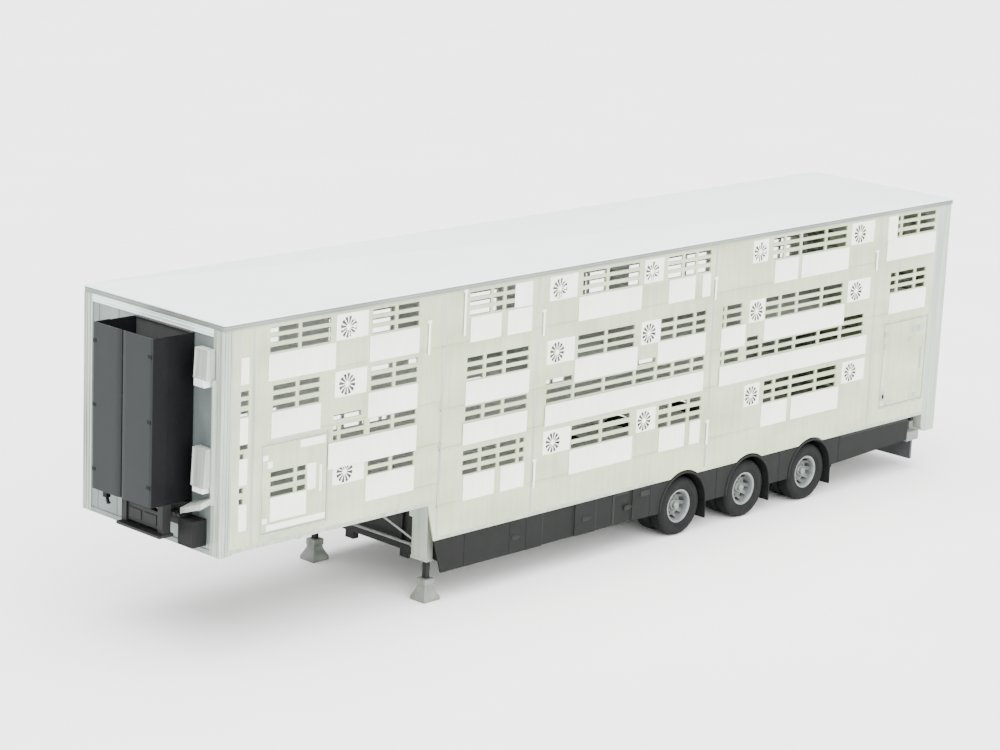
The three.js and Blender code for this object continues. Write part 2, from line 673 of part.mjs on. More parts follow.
function leg(sign) {
  const y = sign * LEG.across;
  const at = x(LEG.along);
  const half = LEG.tube / 2;
  const base = new THREE.CylinderGeometry(105, 190, 130, 4, 1).rotateY(Math.PI / 4)
    .rotateX(Math.PI / 2).scale(1, 0.93, 1).translate(at, y, 100);
  return fuse([
    block([at - half, at + half], [y - half, y + half], [200, LEG.travelTop]),
    block([at - 84, at + 84], [y - 80, y + 80], [205, LEG.footTop]),
    block([at - 60, at + 60], [y - 55, y + 55], [150, 210]),
    block([at - 138, at + 138], [y - 128, y + 128], [0, 40]),
    base,
  ]);
}

// --------------------------------------------------------------- power unit

function unitHousing() {
  const { right, left, foot, head, wall, door } = UNIT;
  const back = FRONT + GAP;
  const front = FRONT + UNIT_DEPTH - door - GAP;
  const body = block([back, front], [right, left], [foot, head]);
  // The top is open, so that the engine's warm air can leave.
  const inside = block([back + wall, front + 10], [right + wall, left - wall],
    [foot + wall, head + 10]);
  // The step bracket below: two posts, a tread and the box between the posts.
  const ahead = (depths) => depths.map((depth) => FRONT + depth);
  const bracket = STEP_POSTS.across.map((ys) =>
    block(ahead(STEP_POSTS.depth), ys, [STEP_POSTS.foot, foot + 5]));
  for (const part of [STEP_TREAD, STEP_BOX]) {
    bracket.push(block(ahead(part.depth), part.across, part.heights));
  }
  return fuse([cut(body, [inside]), ...bracket]);
}

function unitDoor([y0, y1], hingeY) {
  const { foot, head, door } = UNIT;
  const { width, height, proud, inset } = UNIT_HINGE;
  const front = FRONT + UNIT_DEPTH;
  const parts = [block([front - door, front - proud], [y0, y1], [foot + 2, head])];
  const inward = Math.sign((y0 + y1) / 2 - hingeY);
  const edge = hingeY + inward * inset;
  const ys = [edge, edge + inward * width].sort((a, b) => a - b);
  for (const z of UNIT_HINGES) {
    parts.push(block([front - proud - 2, front], ys, [z - height / 2, z + height / 2]));
  }
  return fuse(parts);
}

const socketBox = () =>
  block([FRONT + GAP, FRONT + SOCKET_BOX.depth], SOCKET_BOX.across, SOCKET_BOX.heights);


// ---------------------------------------------------------------- the trailer

const M = MATERIALS;
add('chassis_frame', chassisFrame(), M.blackPaint);
add('kingpin_plate', kingpinPlate(), M.blackPaint);
add('floor', floor(), M.aluminium);
add('front_bulkhead', frontBulkhead(), M.aluminium);
add('roof', roof(), M.roofSheet);
add('rear_frame', rearFrame(), M.aluminium);
add('rear_ramp', rearRamp(), M.aluminium);
add('underrun_bar', underrunBar(), M.skirt);
add('lifting_deck', liftingDeck(), M.aluminium);
add('side_door_front', frontSideDoor(), M.aluminium);
add('side_door_rear', rearSideDoor(), M.aluminium);
add('landing_gear_frame', landingGearFrame(), M.galvanised);
add('power_unit_housing', unitHousing(), M.blackPaint);
add('power_unit_door_right', unitDoor([UNIT.right, UNIT_SPLIT - UNIT_SPLIT_GAP], UNIT.right), M.unitPaint);
add('power_unit_door_left', unitDoor([UNIT_SPLIT + UNIT_SPLIT_GAP, UNIT.left], UNIT.left), M.unitPaint);
add('socket_box', socketBox(), M.skirt);

for (const name of ['left', 'right']) {
  const sign = side(name);
  add(`${name}_side_wall`, sideWall(sign), M.aluminium);
  add(`${name}_skirt`, skirt(sign), M.skirt);
  add(`${name}_leg`, leg(sign), M.galvanised);
  for (const [rowName, row] of Object.entries(ROWS)) {
    add(`${name}_shutters_${rowName}`, shutterRow(row, sign), M.shutter);
  }
  AXLES.forEach((at, index) => {
    const centre = [x(at), 0, WHEEL_RADIUS];
    add(`${name}_wheel_${index + 1}`, wheelRims(sign), M.rim, centre);
    add(`${name}_tyre_${index + 1}`, tyre(sign), M.tyre, centre);
  });
}

AXLES.forEach((at, index) => add(`axle_${index + 1}`, axle(), M.blackPaint, [x(at), 0, 0]));

const rotorY = WALL_FACE - WALL_THICK / 2 - 2;
for (const { name, at, height } of fanPlaces()) {
  add(name, fanRotor(), M.fan, [x(at), rotorY, height]);
}

export default trailer;
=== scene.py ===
# %% [markdown]
# # A livestock semi-trailer, finished around its working parts
# The imported model already holds everything that moves: the ramp, the doors,
# the shutters, the fans, the legs, the axles and the wheels. This lesson gives
# it the looks. Each visible part is modelled again with rounded edges and the
# small things a stranger would miss, such as slats, guards, nuts and seams, and
# every surface gets a finish built from noise.

# %% Load the working model
import math

import bmesh
import bpy
from mathutils import Matrix, Vector


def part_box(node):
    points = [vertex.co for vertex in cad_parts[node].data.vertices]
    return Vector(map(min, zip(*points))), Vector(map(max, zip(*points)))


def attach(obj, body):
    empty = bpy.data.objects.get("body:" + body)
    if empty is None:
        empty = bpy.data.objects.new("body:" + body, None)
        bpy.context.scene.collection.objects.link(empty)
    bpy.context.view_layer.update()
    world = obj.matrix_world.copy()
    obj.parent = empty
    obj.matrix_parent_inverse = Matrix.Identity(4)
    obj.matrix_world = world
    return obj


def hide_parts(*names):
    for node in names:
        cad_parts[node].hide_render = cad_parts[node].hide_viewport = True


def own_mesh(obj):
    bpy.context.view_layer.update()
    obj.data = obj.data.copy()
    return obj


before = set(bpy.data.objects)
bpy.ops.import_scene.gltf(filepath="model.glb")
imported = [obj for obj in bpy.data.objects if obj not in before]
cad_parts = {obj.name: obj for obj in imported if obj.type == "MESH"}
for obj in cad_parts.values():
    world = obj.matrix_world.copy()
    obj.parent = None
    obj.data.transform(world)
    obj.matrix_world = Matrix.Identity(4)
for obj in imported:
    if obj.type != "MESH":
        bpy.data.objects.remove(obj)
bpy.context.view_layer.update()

# %% [markdown]
# ## Measures
# The origin lies on the ground under the middle of the trailer, with +X forward
# and +Y to the left. Along the body it is easier to count from the bulkhead
# backwards, so `at(s)` turns such a distance into an X. Everything that can be
# read from the working model is read from it.

# %% Driving measures
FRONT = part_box("front_bulkhead")[1].x
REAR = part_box("rear_frame")[0].x
WALL_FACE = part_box("left_side_wall")[1].y
WALL_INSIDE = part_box("left_side_wall")[0].y
WALL_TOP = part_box("left_side_wall")[1].z
BODY_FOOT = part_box("left_side_wall")[0].z
NECK_FOOT = 1.30
NECK_REAR = 3.30
STEP_REAR = 3.42
BELLOWS_SIDE = 0.33
AXLE_X = [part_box(f"axle_{n}")[0].x + BELLOWS_SIDE for n in (1, 2, 3)]
WHEEL_RADIUS = 0.398
UP = Vector((0, 0, 1))


def at(behind):
    """X of a place, from its distance behind the front face of the bulkhead."""
    return FRONT - behind


print(f"body {FRONT - REAR:.2f} m long, walls {WALL_FACE:.3f} m from the middle")

# %% [markdown]
# ## The camera
# A long lens looks at the front left corner from above the height of the roof, so
# that the long side, the front and the top all show. It comes first, because
# everything else is judged through it. The small roll is that of a tripod that
# isn't quite level.

# %% Place the camera
AZIMUTH, ELEVATION, ROLL = (math.radians(turn) for turn in (133.838, 14.183, 2.553))
TARGET = Vector((-0.0947, -0.8378, 2.0))
DISTANCE = 38.209
LENS = 103.14
SENSOR = 36
FARTHEST = 500

back = Vector((math.sin(AZIMUTH) * math.cos(ELEVATION),
               -math.cos(AZIMUTH) * math.cos(ELEVATION), math.sin(ELEVATION)))
level_right = UP.cross(back).normalized()
level_up = back.cross(level_right)
right = math.cos(ROLL) * level_right + math.sin(ROLL) * level_up
camera_data = bpy.data.cameras.new("camera")
camera_data.lens = LENS
camera_data.sensor_width = SENSOR
camera_data.clip_end = FARTHEST
camera = bpy.data.objects.new("camera", camera_data)
camera.matrix_world = Matrix.Translation(TARGET + back * DISTANCE) @ Matrix(
    (right, back.cross(right), back)).transposed().to_4x4()
bpy.context.scene.collection.objects.link(camera)
bpy.context.scene.camera = camera
print("camera at", [round(value, 2) for value in camera.location])

# %% [markdown]
# ## Floor and light
# A studio floor that is nearly white, a white surround, and two very wide lamps, one
# from above and one on the long side. The nose gets only what the floor and the
# surround give back, so the three visible sides differ in brightness.

# %% Floor, surround and lamps
SURROUND_STRENGTH = 1.1
STUDIO_REACH = 320
FLOOR_DROP = 0.002

world = bpy.data.worlds.new("studio")
world.use_nodes = True
world.node_tree.nodes["Background"].inputs["Color"].default_value = (1, 1, 1, 1)
world.node_tree.nodes["Background"].inputs["Strength"].default_value = SURROUND_STRENGTH
bpy.context.scene.world = world

floor_mesh = bpy.data.meshes.new("studio_floor")
floor_bm = bmesh.new()
bmesh.ops.create_grid(floor_bm, x_segments=1, y_segments=1, size=STUDIO_REACH)
floor_bm.to_mesh(floor_mesh)
floor_bm.free()
studio_floor = bpy.data.objects.new("studio_floor", floor_mesh)
studio_floor.location.z = -FLOOR_DROP
bpy.context.scene.collection.objects.link(studio_floor)


def lamp(name, direction, strength, spread):
    """A lamp that shines along a direction from a wide patch of sky, so it casts soft shade."""
    data = bpy.data.lights.new(name, "SUN")
    data.energy = strength
    data.angle = math.radians(spread)
    holder = bpy.data.objects.new(name, data)
    holder.rotation_euler = Vector(direction).to_track_quat("-Z", "Y").to_euler()
    bpy.context.scene.collection.objects.link(holder)


lamp("roof_light", (-0.15, -0.1, -1), 9.0, 80)
lamp("side_light", (-0.25, -1, -0.5), 4.6, 60)

# %% [markdown]
# ## Finishes
# Each finish is a Principled shader. Its colour comes from a ramp driven by
# noise on object coordinates, so that it stays put on the part, and a second,
# finer noise gives the bump. One function does the wiring. What differs between
# aluminium, paint, rubber and plastic is the size of the noise, how far it is
# stretched, and how rough and how metallic the surface is.

# %% A function that wires a finish
BROAD_DETAIL = 6
GRIME_DETAIL = 4
BUMP_DETAIL = 3
GRIME_FROM, GRIME_TO = 0.42, 0.75
BUMP_DISTANCE = 0.002


def finish(name, dark, light, scale, rough, stretch=(1, 1, 1), metal=0.0, bump=0.0,
           bump_scale=60.0, bump_stretch=(1, 1, 1), spread=0.25, grime=None, specular=0.5):
    """A material whose colour wanders between dark and light, with a fine bump.

    scale and stretch size the colour's noise, rough is its range of roughness,
    spread says how soft the ramp is, and grime adds streaks of a darker tint.
    """
    material = bpy.data.materials.new(name)
    material.use_nodes = True
    nodes = material.node_tree.nodes
    links = material.node_tree.links
    shader = nodes["Principled BSDF"]
    place = nodes.new("ShaderNodeTexCoord")

    def noise(size, pull, detail):
        """Noise of one size, pulled along the axes."""
        mapping = nodes.new("ShaderNodeMapping")
        mapping.inputs["Scale"].default_value = pull
        texture = nodes.new("ShaderNodeTexNoise")
        texture.inputs["Scale"].default_value = size
        texture.inputs["Detail"].default_value = detail
        links.new(place.outputs["Object"], mapping.inputs["Vector"])
        links.new(mapping.outputs["Vector"], texture.inputs["Vector"])
        return texture

    broad = noise(scale, stretch, BROAD_DETAIL)
    ramp = nodes.new("ShaderNodeValToRGB")
    ramp.color_ramp.elements[0].position = 0.5 - spread
    ramp.color_ramp.elements[1].position = 0.5 + spread
    ramp.color_ramp.elements[0].color = (*dark, 1)
    ramp.color_ramp.elements[1].color = (*light, 1)
    links.new(broad.outputs["Fac"], ramp.inputs["Fac"])
    colour = ramp.outputs["Color"]
    if grime:
        streaks = noise(grime["scale"], grime["stretch"], GRIME_DETAIL)
        level = nodes.new("ShaderNodeValToRGB")
        level.color_ramp.elements[0].position = GRIME_FROM
        level.color_ramp.elements[1].position = GRIME_TO
        level.color_ramp.elements[0].color = (1, 1, 1, 1)
        level.color_ramp.elements[1].color = (*grime["tint"], 1)
        blend = nodes.new("ShaderNodeMix")
        blend.data_type = "RGBA"
        blend.blend_type = "MULTIPLY"
        blend.inputs["Factor"].default_value = 1
        links.new(streaks.outputs["Fac"], level.inputs["Fac"])
        links.new(colour, blend.inputs["A"])
        links.new(level.outputs["Color"], blend.inputs["B"])
        colour = blend.outputs["Result"]
    links.new(colour, shader.inputs["Base Color"])
    shade = nodes.new("ShaderNodeMapRange")
    shade.inputs["To Min"].default_value = rough[0]
    shade.inputs["To Max"].default_value = rough[1]
    links.new(broad.outputs["Fac"], shade.inputs["Value"])
    links.new(shade.outputs["Result"], shader.inputs["Roughness"])
    shader.inputs["Metallic"].default_value = metal
    shader.inputs["Specular IOR Level"].default_value = specular
    if bump:
        fine = noise(bump_scale, bump_stretch, BUMP_DETAIL)
        relief = nodes.new("ShaderNodeBump")
        relief.inputs["Strength"].default_value = bump
        relief.inputs["Distance"].default_value = BUMP_DISTANCE
        links.new(fine.outputs["Fac"], relief.inputs["Height"])
        links.new(relief.outputs["Normal"], shader.inputs["Normal"])
    return material


# %% [markdown]
# Mill aluminium is the hard one: bare metal that has been washed a thousand
# times. It is only half a mirror, it has long faint lines from the extrusion
# press, and cloudy patches with streaks that run down from the roof. The other
# finishes are calmer.

# %% The finishes of this trailer
ALUMINIUM = finish("aluminium_planks", (0.37, 0.42, 0.27), (0.52, 0.58, 0.40), 1.6, (0.38, 0.55),
                   stretch=(0.5, 1, 1.4), metal=0.2, bump=0.25, bump_scale=9, spread=0.22,
                   bump_stretch=(0.4, 1, 14),
                   grime={"scale": 3.0, "stretch": (5, 5, 0.35), "tint": (0.86, 0.87, 0.83)})
INNER_ALUMINIUM = finish("aluminium_inside", (0.68, 0.69, 0.67), (0.80, 0.81, 0.79), 1.6, (0.45, 0.6),
                         metal=0.1, bump=0.2, bump_scale=9, bump_stretch=(0.4, 1, 14))
# Painted shade: the bulkhead is the wall aluminium made several times darker, for the shade on the
# nose beside the power unit.
SHADED_NOSE_ALUMINIUM = finish("aluminium_bulkhead_painted_shade", (0.11, 0.135, 0.13), (0.22, 0.25, 0.245), 1.9,
                        (0.38, 0.5), stretch=(1, 1, 0.6), metal=0.3, bump=0.2, bump_scale=7)
PRESSED_ALUMINIUM = finish("aluminium_sections", (0.24, 0.28, 0.24), (0.46, 0.50, 0.44), 2.5,
                           (0.32, 0.5), stretch=(6, 6, 0.3), metal=0.25, bump=0.15,
                           bump_scale=12, bump_stretch=(6, 6, 0.5))
TREAD_ALUMINIUM = finish("aluminium_tread", (0.56, 0.58, 0.54), (0.70, 0.72, 0.67), 3.0, (0.5, 0.7),
                         metal=0.15, bump=0.6, bump_scale=40)
BEAM_ALUMINIUM = finish("aluminium_edge_beam", (0.17, 0.20, 0.18), (0.27, 0.30, 0.27), 2.5,
                        (0.35, 0.5), stretch=(0.3, 1, 1), metal=0.25, bump=0.15, bump_scale=12)
ROOF_SHEET = finish("roof_sheet", (0.72, 0.86, 0.82), (0.79, 0.92, 0.88), 0.8, (0.42, 0.55),
                    stretch=(0.4, 1, 1), bump=0.08, bump_scale=3, metal=0.05)
SHUTTER_PAINT = finish("shutter_paint", (0.80, 0.85, 0.74), (0.90, 0.93, 0.86), 2.2, (0.4, 0.55),
                       stretch=(1, 1, 0.6), bump=0.1, bump_scale=80,
                       grime={"scale": 5.0, "stretch": (4, 4, 0.4), "tint": (0.93, 0.94, 0.9)})
FAN_PLASTIC = finish("fan_plastic", (0.80, 0.84, 0.72), (0.90, 0.93, 0.84), 6, (0.45, 0.6),
                     bump=0.1, bump_scale=120)
ROTOR_PLASTIC = finish("fan_rotor_plastic", (0.05, 0.055, 0.05), (0.09, 0.095, 0.085), 9,
                       (0.45, 0.6), bump=0.1, bump_scale=120, specular=0.3)
BLACK_PAINT = finish("chassis_paint", (0.005, 0.006, 0.0055), (0.012, 0.013, 0.012), 4, (0.4, 0.6),
                     bump=0.2, bump_scale=90, specular=0.2)
GREY_MOULDING = finish("grey_moulding", (0.0072, 0.0078, 0.0076), (0.0115, 0.0123, 0.0119), 3.5,
                       (0.5, 0.7), bump=0.3, bump_scale=220, stretch=(1, 1, 0.5), specular=0.12)
UNIT_BLACK = finish("unit_black", (0.002, 0.0023, 0.0027), (0.0045, 0.0049, 0.0055), 2.5,
                    (0.35, 0.5), stretch=(1, 1, 0.4), bump=0.1, bump_scale=140, specular=0.1)
UNIT_GREY = finish("unit_grey", (0.0125, 0.0147, 0.0147), (0.0175, 0.020, 0.0202), 2.0, (0.42, 0.55),
                   stretch=(1, 1.5, 0.35), bump=0.12, bump_scale=150, specular=0.15)
# Painted light: the doors' grey made several times lighter, so that the casing's back wall, which
# stands in shade, still shows grey.
LIT_UNIT_LINING = finish("unit_lining_painted_light", (0.045, 0.048, 0.047), (0.065, 0.068, 0.066), 2.0, (0.5, 0.6),
                     stretch=(1, 1.5, 0.35), bump=0.12, bump_scale=150, specular=0.2)
GALVANISED = finish("galvanised_steel", (0.14, 0.152, 0.14), (0.22, 0.235, 0.215), 14, (0.4, 0.6),
                    metal=0.35, bump=0.15, bump_scale=50, spread=0.3)
FOOT_STEEL = finish("cast_foot_steel", (0.13, 0.145, 0.13), (0.23, 0.25, 0.22), 7, (0.4, 0.6),
                    metal=0.4, bump=0.3, bump_scale=60, spread=0.2)
BUMPER_PAINT = finish("bumper_paint", (0.032, 0.037, 0.037), (0.048, 0.053, 0.053), 5, (0.4, 0.6),
                      bump=0.15, bump_scale=120, specular=0.3)
RIM_PAINT = finish("wheel_paint", (0.13, 0.142, 0.14), (0.22, 0.235, 0.23), 14, (0.35, 0.5),
                   metal=0.35, bump=0.1, bump_scale=90)
DARK_STEEL = finish("wheel_dish_paint", (0.11, 0.12, 0.12), (0.16, 0.172, 0.172), 16,
                    (0.4, 0.55), metal=0.3, bump=0.15, bump_scale=80)
RUBBER = finish("tyre_rubber", (0.0065, 0.0075, 0.0072), (0.0118, 0.0128, 0.0125), 12, (0.62, 0.8),
                bump=0.35, bump_scale=150, specular=0.12)
LAMP_RED = finish("lamp_red", (0.32, 0.012, 0.01), (0.42, 0.02, 0.016), 30, (0.12, 0.2))
LAMP_CLEAR = finish("lamp_clear", (0.66, 0.68, 0.68), (0.78, 0.79, 0.78), 18, (0.15, 0.3),
                    bump=0.4, bump_scale=160)
FLOOR_PAINT = finish("studio_floor", (0.86, 0.86, 0.86), (0.9, 0.9, 0.9), 0.3, (0.8, 0.9))
floor_mesh.materials.append(FLOOR_PAINT)
print(len(bpy.data.materials), "materials so far")

# %% [markdown]
# ## Helpers
# Nearly every part of a trailer starts as a bar or a tube, so three helpers add
# those to a bmesh: `bar` takes plain positions, `run` takes distances behind the
# bulkhead, and `tube` joins two points. Round parts start as an outline of a few
# points, and pressed sheets get their dents from two insets.

# %% Bars, tubes, outlines and pressed dents


def bar(bm, xs, ys, zs):
    """Adds a box between two X, two Y and two Z values, and gives its vertices."""
    low = Vector((min(xs), min(ys), min(zs)))
    high = Vector((max(xs), max(ys), max(zs)))
    matrix = Matrix.Translation((low + high) / 2) @ Matrix.Diagonal((*(high - low), 1))
    return bmesh.ops.create_cube(bm, size=1, matrix=matrix)["verts"]


def run(bm, ends, ys, zs):
    """Adds a bar whose two ends are given as distances behind the bulkhead."""
    return bar(bm, (at(ends[0]), at(ends[1])), ys, zs)


def tube(bm, start, end, radius, sides=16, tip=None):
    """Adds a round bar, or a cone if tip gives the radius at its end."""
    line = Vector(end) - Vector(start)
    matrix = Matrix.Translation((Vector(start) + Vector(end)) / 2) @ (
        line.to_track_quat("Z", "Y").to_matrix().to_4x4())
    return bmesh.ops.create_cone(bm, cap_ends=True, segments=sides, radius1=radius,
                                 radius2=radius if tip is None else tip,
                                 depth=line.length, matrix=matrix)["verts"]


def outline(bm, points, closed=False):
    """Adds a line through some points, and gives its vertices and its edges."""
    verts = [bmesh.ops.create_vert(bm, co=point)["vert"][0] for point in points]
    nexts = verts[1:] + (verts[:1] if closed else [])
    return verts, [bm.edges.new(pair) for pair in zip(verts, nexts)]


def press_in(bm, faces, rim, slope, depth):
    """Pushes the middle of a face in, inside a flat rim and a short slope."""
    bmesh.ops.inset_region(bm, faces=faces, thickness=rim, use_even_offset=True)
    bmesh.ops.inset_region(bm, faces=faces, thickness=slope, use_even_offset=True,
                           depth=-depth)


print("helpers ready: bar, run, tube, outline, press_in")

# %% [markdown]
# One more function makes a bmesh a finished piece of the trailer. It shades it
# smooth but keeps the corners sharp, rounds the edges with a live bevel, rides it
# on its body and hides the plain part that it stands for. A bevel in the mesh
# would do too, but a live one keeps the mesh easy to read and to change.

# %% The function that finishes a piece
BEVEL_FROM = 40


def piece(name, bm, material, body, replaces=(), bevel=0.003, segments=2, angle=32):
    """Makes the bmesh a finished piece of the trailer."""
    mesh = bpy.data.meshes.new(name)
    bm.to_mesh(mesh)
    bm.free()
    mesh.shade_smooth()
    mesh.set_sharp_from_angle(angle=math.radians(angle))
    mesh.materials.append(material)
    made = bpy.data.objects.new(name, mesh)
    bpy.context.scene.collection.objects.link(made)
    if bevel:
        edges = made.modifiers.new("rounded edges", "BEVEL")
        edges.width = bevel
        edges.segments = segments
        edges.limit_method = "ANGLE"
        edges.angle_limit = math.radians(BEVEL_FROM)
        edges.harden_normals = True
    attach(made, body)
    if replaces:
        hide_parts(*replaces)
    print(f"{name}: {len(mesh.polygons)} faces")
    return made


def tidy_shape(bm):
    """Merges doubles and turns the faces outwards, after a spin or a mirror."""
    bmesh.ops.remove_doubles(bm, verts=bm.verts, dist=1e-5)
    bmesh.ops.recalc_face_normals(bm, faces=bm.faces)


def mirrored(sign, low, high):
    """The Y span between two distances from the middle, on one side."""
    return (low, high) if sign > 0 else (-high, -low)


SIDES = {"left": 1, "right": -1}
print("sides", SIDES)

# %% [markdown]
# ## Roof
# One pale sheet lies on an edge beam that runs all round. The beam is an aluminium
# section with two grooves. A flat plate is extruded upwards in small steps, and
# after each step the new rim is drawn in or let out a little, which leaves the
# grooves and the lips that catch the light along the edge. The sheet on top is made
# by the same function from fewer steps.

# %% A roof extruded in steps
ROOF_LOW, ROOF_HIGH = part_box("roof")
ROOF_CORNER = 0.045


def drawn_in(bm, verts, middle, half, amount):
    """Moves a rectangular rim inwards by an amount, all round."""
    scale = Vector(((half[0] - amount) / half[0], (half[1] - amount) / half[1], 1))
    bmesh.ops.scale(bm, verts=verts, vec=scale, space=Matrix.Translation(-middle))


def stepped_plate(steps):
    """A plate over the whole roof. Each step is its height and how far it is drawn in."""
    bm = bmesh.new()
    middle = Vector(((ROOF_LOW.x + ROOF_HIGH.x) / 2, 0, ROOF_LOW.z + steps[0][0]))
    half = ((ROOF_HIGH.x - ROOF_LOW.x) / 2, ROOF_HIGH.y)
    base = Matrix.Translation(middle) @ Matrix.Diagonal((*half, 1, 1))
    bmesh.ops.create_grid(bm, x_segments=1, y_segments=1, size=1, matrix=base)
    corners = [v for v in bm.verts if v.co.x > 0]
    bmesh.ops.bevel(bm, geom=corners, offset=ROOF_CORNER, segments=6, profile=0.5,
                    affect="VERTICES", material=-1)
    inset_now = steps[0][1]
    drawn_in(bm, bm.verts, middle, half, inset_now)
    top = bm.faces[:]
    for height, inset in steps[1:]:
        grown = bmesh.ops.extrude_face_region(bm, geom=top)["geom"]
        bmesh.ops.delete(bm, geom=top, context="FACES_ONLY")
        rim = [g for g in grown if isinstance(g, bmesh.types.BMVert)]
        top = [g for g in grown if isinstance(g, bmesh.types.BMFace)]
        now = (half[0] - inset_now, half[1] - inset_now)
        drawn_in(bm, rim, middle, now, inset - inset_now)
        bmesh.ops.translate(bm, verts=rim, vec=UP * (ROOF_LOW.z + height - rim[0].co.z))
        inset_now = inset
    bmesh.ops.holes_fill(bm, edges=bm.edges, sides=0)
    tidy_shape(bm)
    return bm


BEAM_STEPS = [(0.0, 0.010), (0.003, 0.003), (0.018, 0.003), (0.020, 0.009), (0.027, 0.009),
              (0.029, 0.003), (0.046, 0.003), (0.048, 0.009), (0.054, 0.009), (0.056, 0.003),
              (0.062, 0.003), (0.0625, 0.012)]
SHEET_STEPS = [(0.0635, 0.004), (0.0645, 0.0), (0.074, 0.0), (0.078, 0.003), (0.0795, 0.010)]
piece("roof_beam", stepped_plate(BEAM_STEPS), BEAM_ALUMINIUM, "trailer",
      bevel=0, angle=25)
piece("roof_sheet", stepped_plate(SHEET_STEPS), ROOF_SHEET, "trailer", ["roof"],
      bevel=0, angle=25)

# %% [markdown]
# ## Side walls
# A wall is one sheet with more than a hundred slots. Drawing each outline by
# hand would be slow, so a flat sheet is cut along every line on which a slot, a
# door or a fan begins or ends, the faces that lie in an opening are deleted, and
# what is left gets its thickness from solidify. The windows of a row share their
# heights, which step down behind the gooseneck with the floor.

# %% Windows: every row's slots, from the front backwards
SLOT = 0.065
FAN_COLUMNS = [1.90, 5.46, 7.19, 9.37, 11.55]
FAN_OPENING = 0.272
POST = 0.05
WINDOW_ROWS = {
    "top": {
        "neck": [3.84, 3.73, 3.615], "body": [3.84, 3.73, 3.615], "fans": (3.72, 3.72),
        "windows": [(0.70, 1.62, 1.15), (2.28, 3.03, 2.66), (3.88, 4.96, 4.26, 4.48),
                    (5.88, 6.94, 6.34), (7.50, 8.35, 7.80, 8.07),
                    (9.65, 11.25, 9.895, 10.24, 10.785), (12.42, 13.31, 12.505, 12.915)]},
    "upper": {
        "neck": [3.16, 3.045, 2.925], "body": [3.03, 2.915, 2.805], "fans": (3.04, 2.905),
        "windows": [(0.76, 1.47, 1.13), (2.28, 3.03, 2.65), (3.87, 4.95, 4.175, 4.52),
                    (5.84, 6.91, 6.365), (7.42, 8.32, 7.705, 8.095), (8.66, 9.06, 8.72),
                    (9.56, 11.24, 9.865, 10.23, 10.775), (12.34, 13.17, 12.495, 12.915)]},
    "lower": {
        "neck": [2.525, 2.415], "body": [2.41, 2.295], "fans": None,
        "windows": [(1.70, 2.19, 1.79), (2.28, 3.03, 2.65), (3.87, 4.95, 4.175, 4.52),
                    (5.30, 8.33, 5.79, 6.36, 6.95, 7.365, 7.70, 8.085), (8.66, 9.05, 8.72),
                    (9.20, 11.77, 9.505, 9.855, 10.23, 10.76, 11.25)]},
    "bottom": {
        "neck": [2.01, 1.90], "body": [1.86, 1.735, 1.617], "fans": (1.98, 1.735),
        "windows": [(2.27, 3.02, 2.64), (3.86, 4.94, 4.155, 4.475, 4.825), (5.80, 6.91, 6.355),
                    (7.47, 8.32, 7.695, 8.065), (9.63, 11.22, 9.85, 10.21, 10.765)]},
}
# A few slots stand above the third row, where its shutter doesn't reach.
ODD_SLOTS = [((1.70, 2.14), 2.66), ((5.29, 5.77), 2.535), ((7.0, 7.35), 2.535),
             ((9.20, 9.45), 2.535), ((11.30, 11.77), 2.525)]
# The narrow column beside the front post has short slots of its own.
CORNER_SLOTS = [((0.28, 0.40), z) for z in (3.16, 3.05, 2.93, 2.54)]
CORNER_SLOTS += [((0.28, 0.34), z) for z in (2.43, 2.03, 1.90)]
FRONT_DOOR = {"ends": (0.62, 1.62), "heights": (1.45, 2.50)}
REAR_DOOR = {"ends": (12.30, 13.30), "heights": (1.10, 2.32)}


def glazing(window, posts=POST):
    """The panes of a window between its posts, as distances behind the bulkhead."""
    start, stop, *middles = window
    edges = [start]
    for middle in middles:
        edges += [middle - posts / 2, middle + posts / 2]
    edges.append(stop)
    return list(zip(edges[::2], edges[1::2]))


def slot_openings():
    """Every slot of a wall as ((from, to), (low, high))."""
    found = []
    for row in WINDOW_ROWS.values():
        for window in row["windows"]:
            heights = row["neck"] if window[0] < NECK_REAR else row["body"]
            for pane in glazing(window):
                found += [(pane, (z - SLOT / 2, z + SLOT / 2)) for z in heights]
    found += [(ends, (z - SLOT / 2, z + SLOT / 2)) for ends, z in ODD_SLOTS + CORNER_SLOTS]
    return found


def fan_places():
    """Each fan's name, distance behind the bulkhead and height."""
    found = []
    for row_name, row in WINDOW_ROWS.items():
        if row["fans"]:
            for number, behind in enumerate(FAN_COLUMNS, 1):
                height = row["fans"][0 if behind < NECK_REAR else 1]
                found.append((f"fan_{row_name}_{number}", behind, height))
    return found


print(len(slot_openings()), "slots,", len(fan_places()), "fans")

# %% [markdown]
# `bisect_plane` cuts across the whole sheet, like a saw, so each line is cut
# once. The wheel arches and the slanting edge at the step come the same way: a
# few short cuts along the tangents of the arc, and then the inside is deleted.

# %% The saw, the openings and the thickness


def saw(bm, faces, point, direction):
    """Cuts the faces along a plane."""
    edges = {edge for face in faces for edge in face.edges}
    verts = {vert for face in faces for vert in face.verts}
    bmesh.ops.bisect_plane(bm, geom=[*verts, *edges, *faces], dist=1e-6, plane_co=point,
                           plane_no=direction)


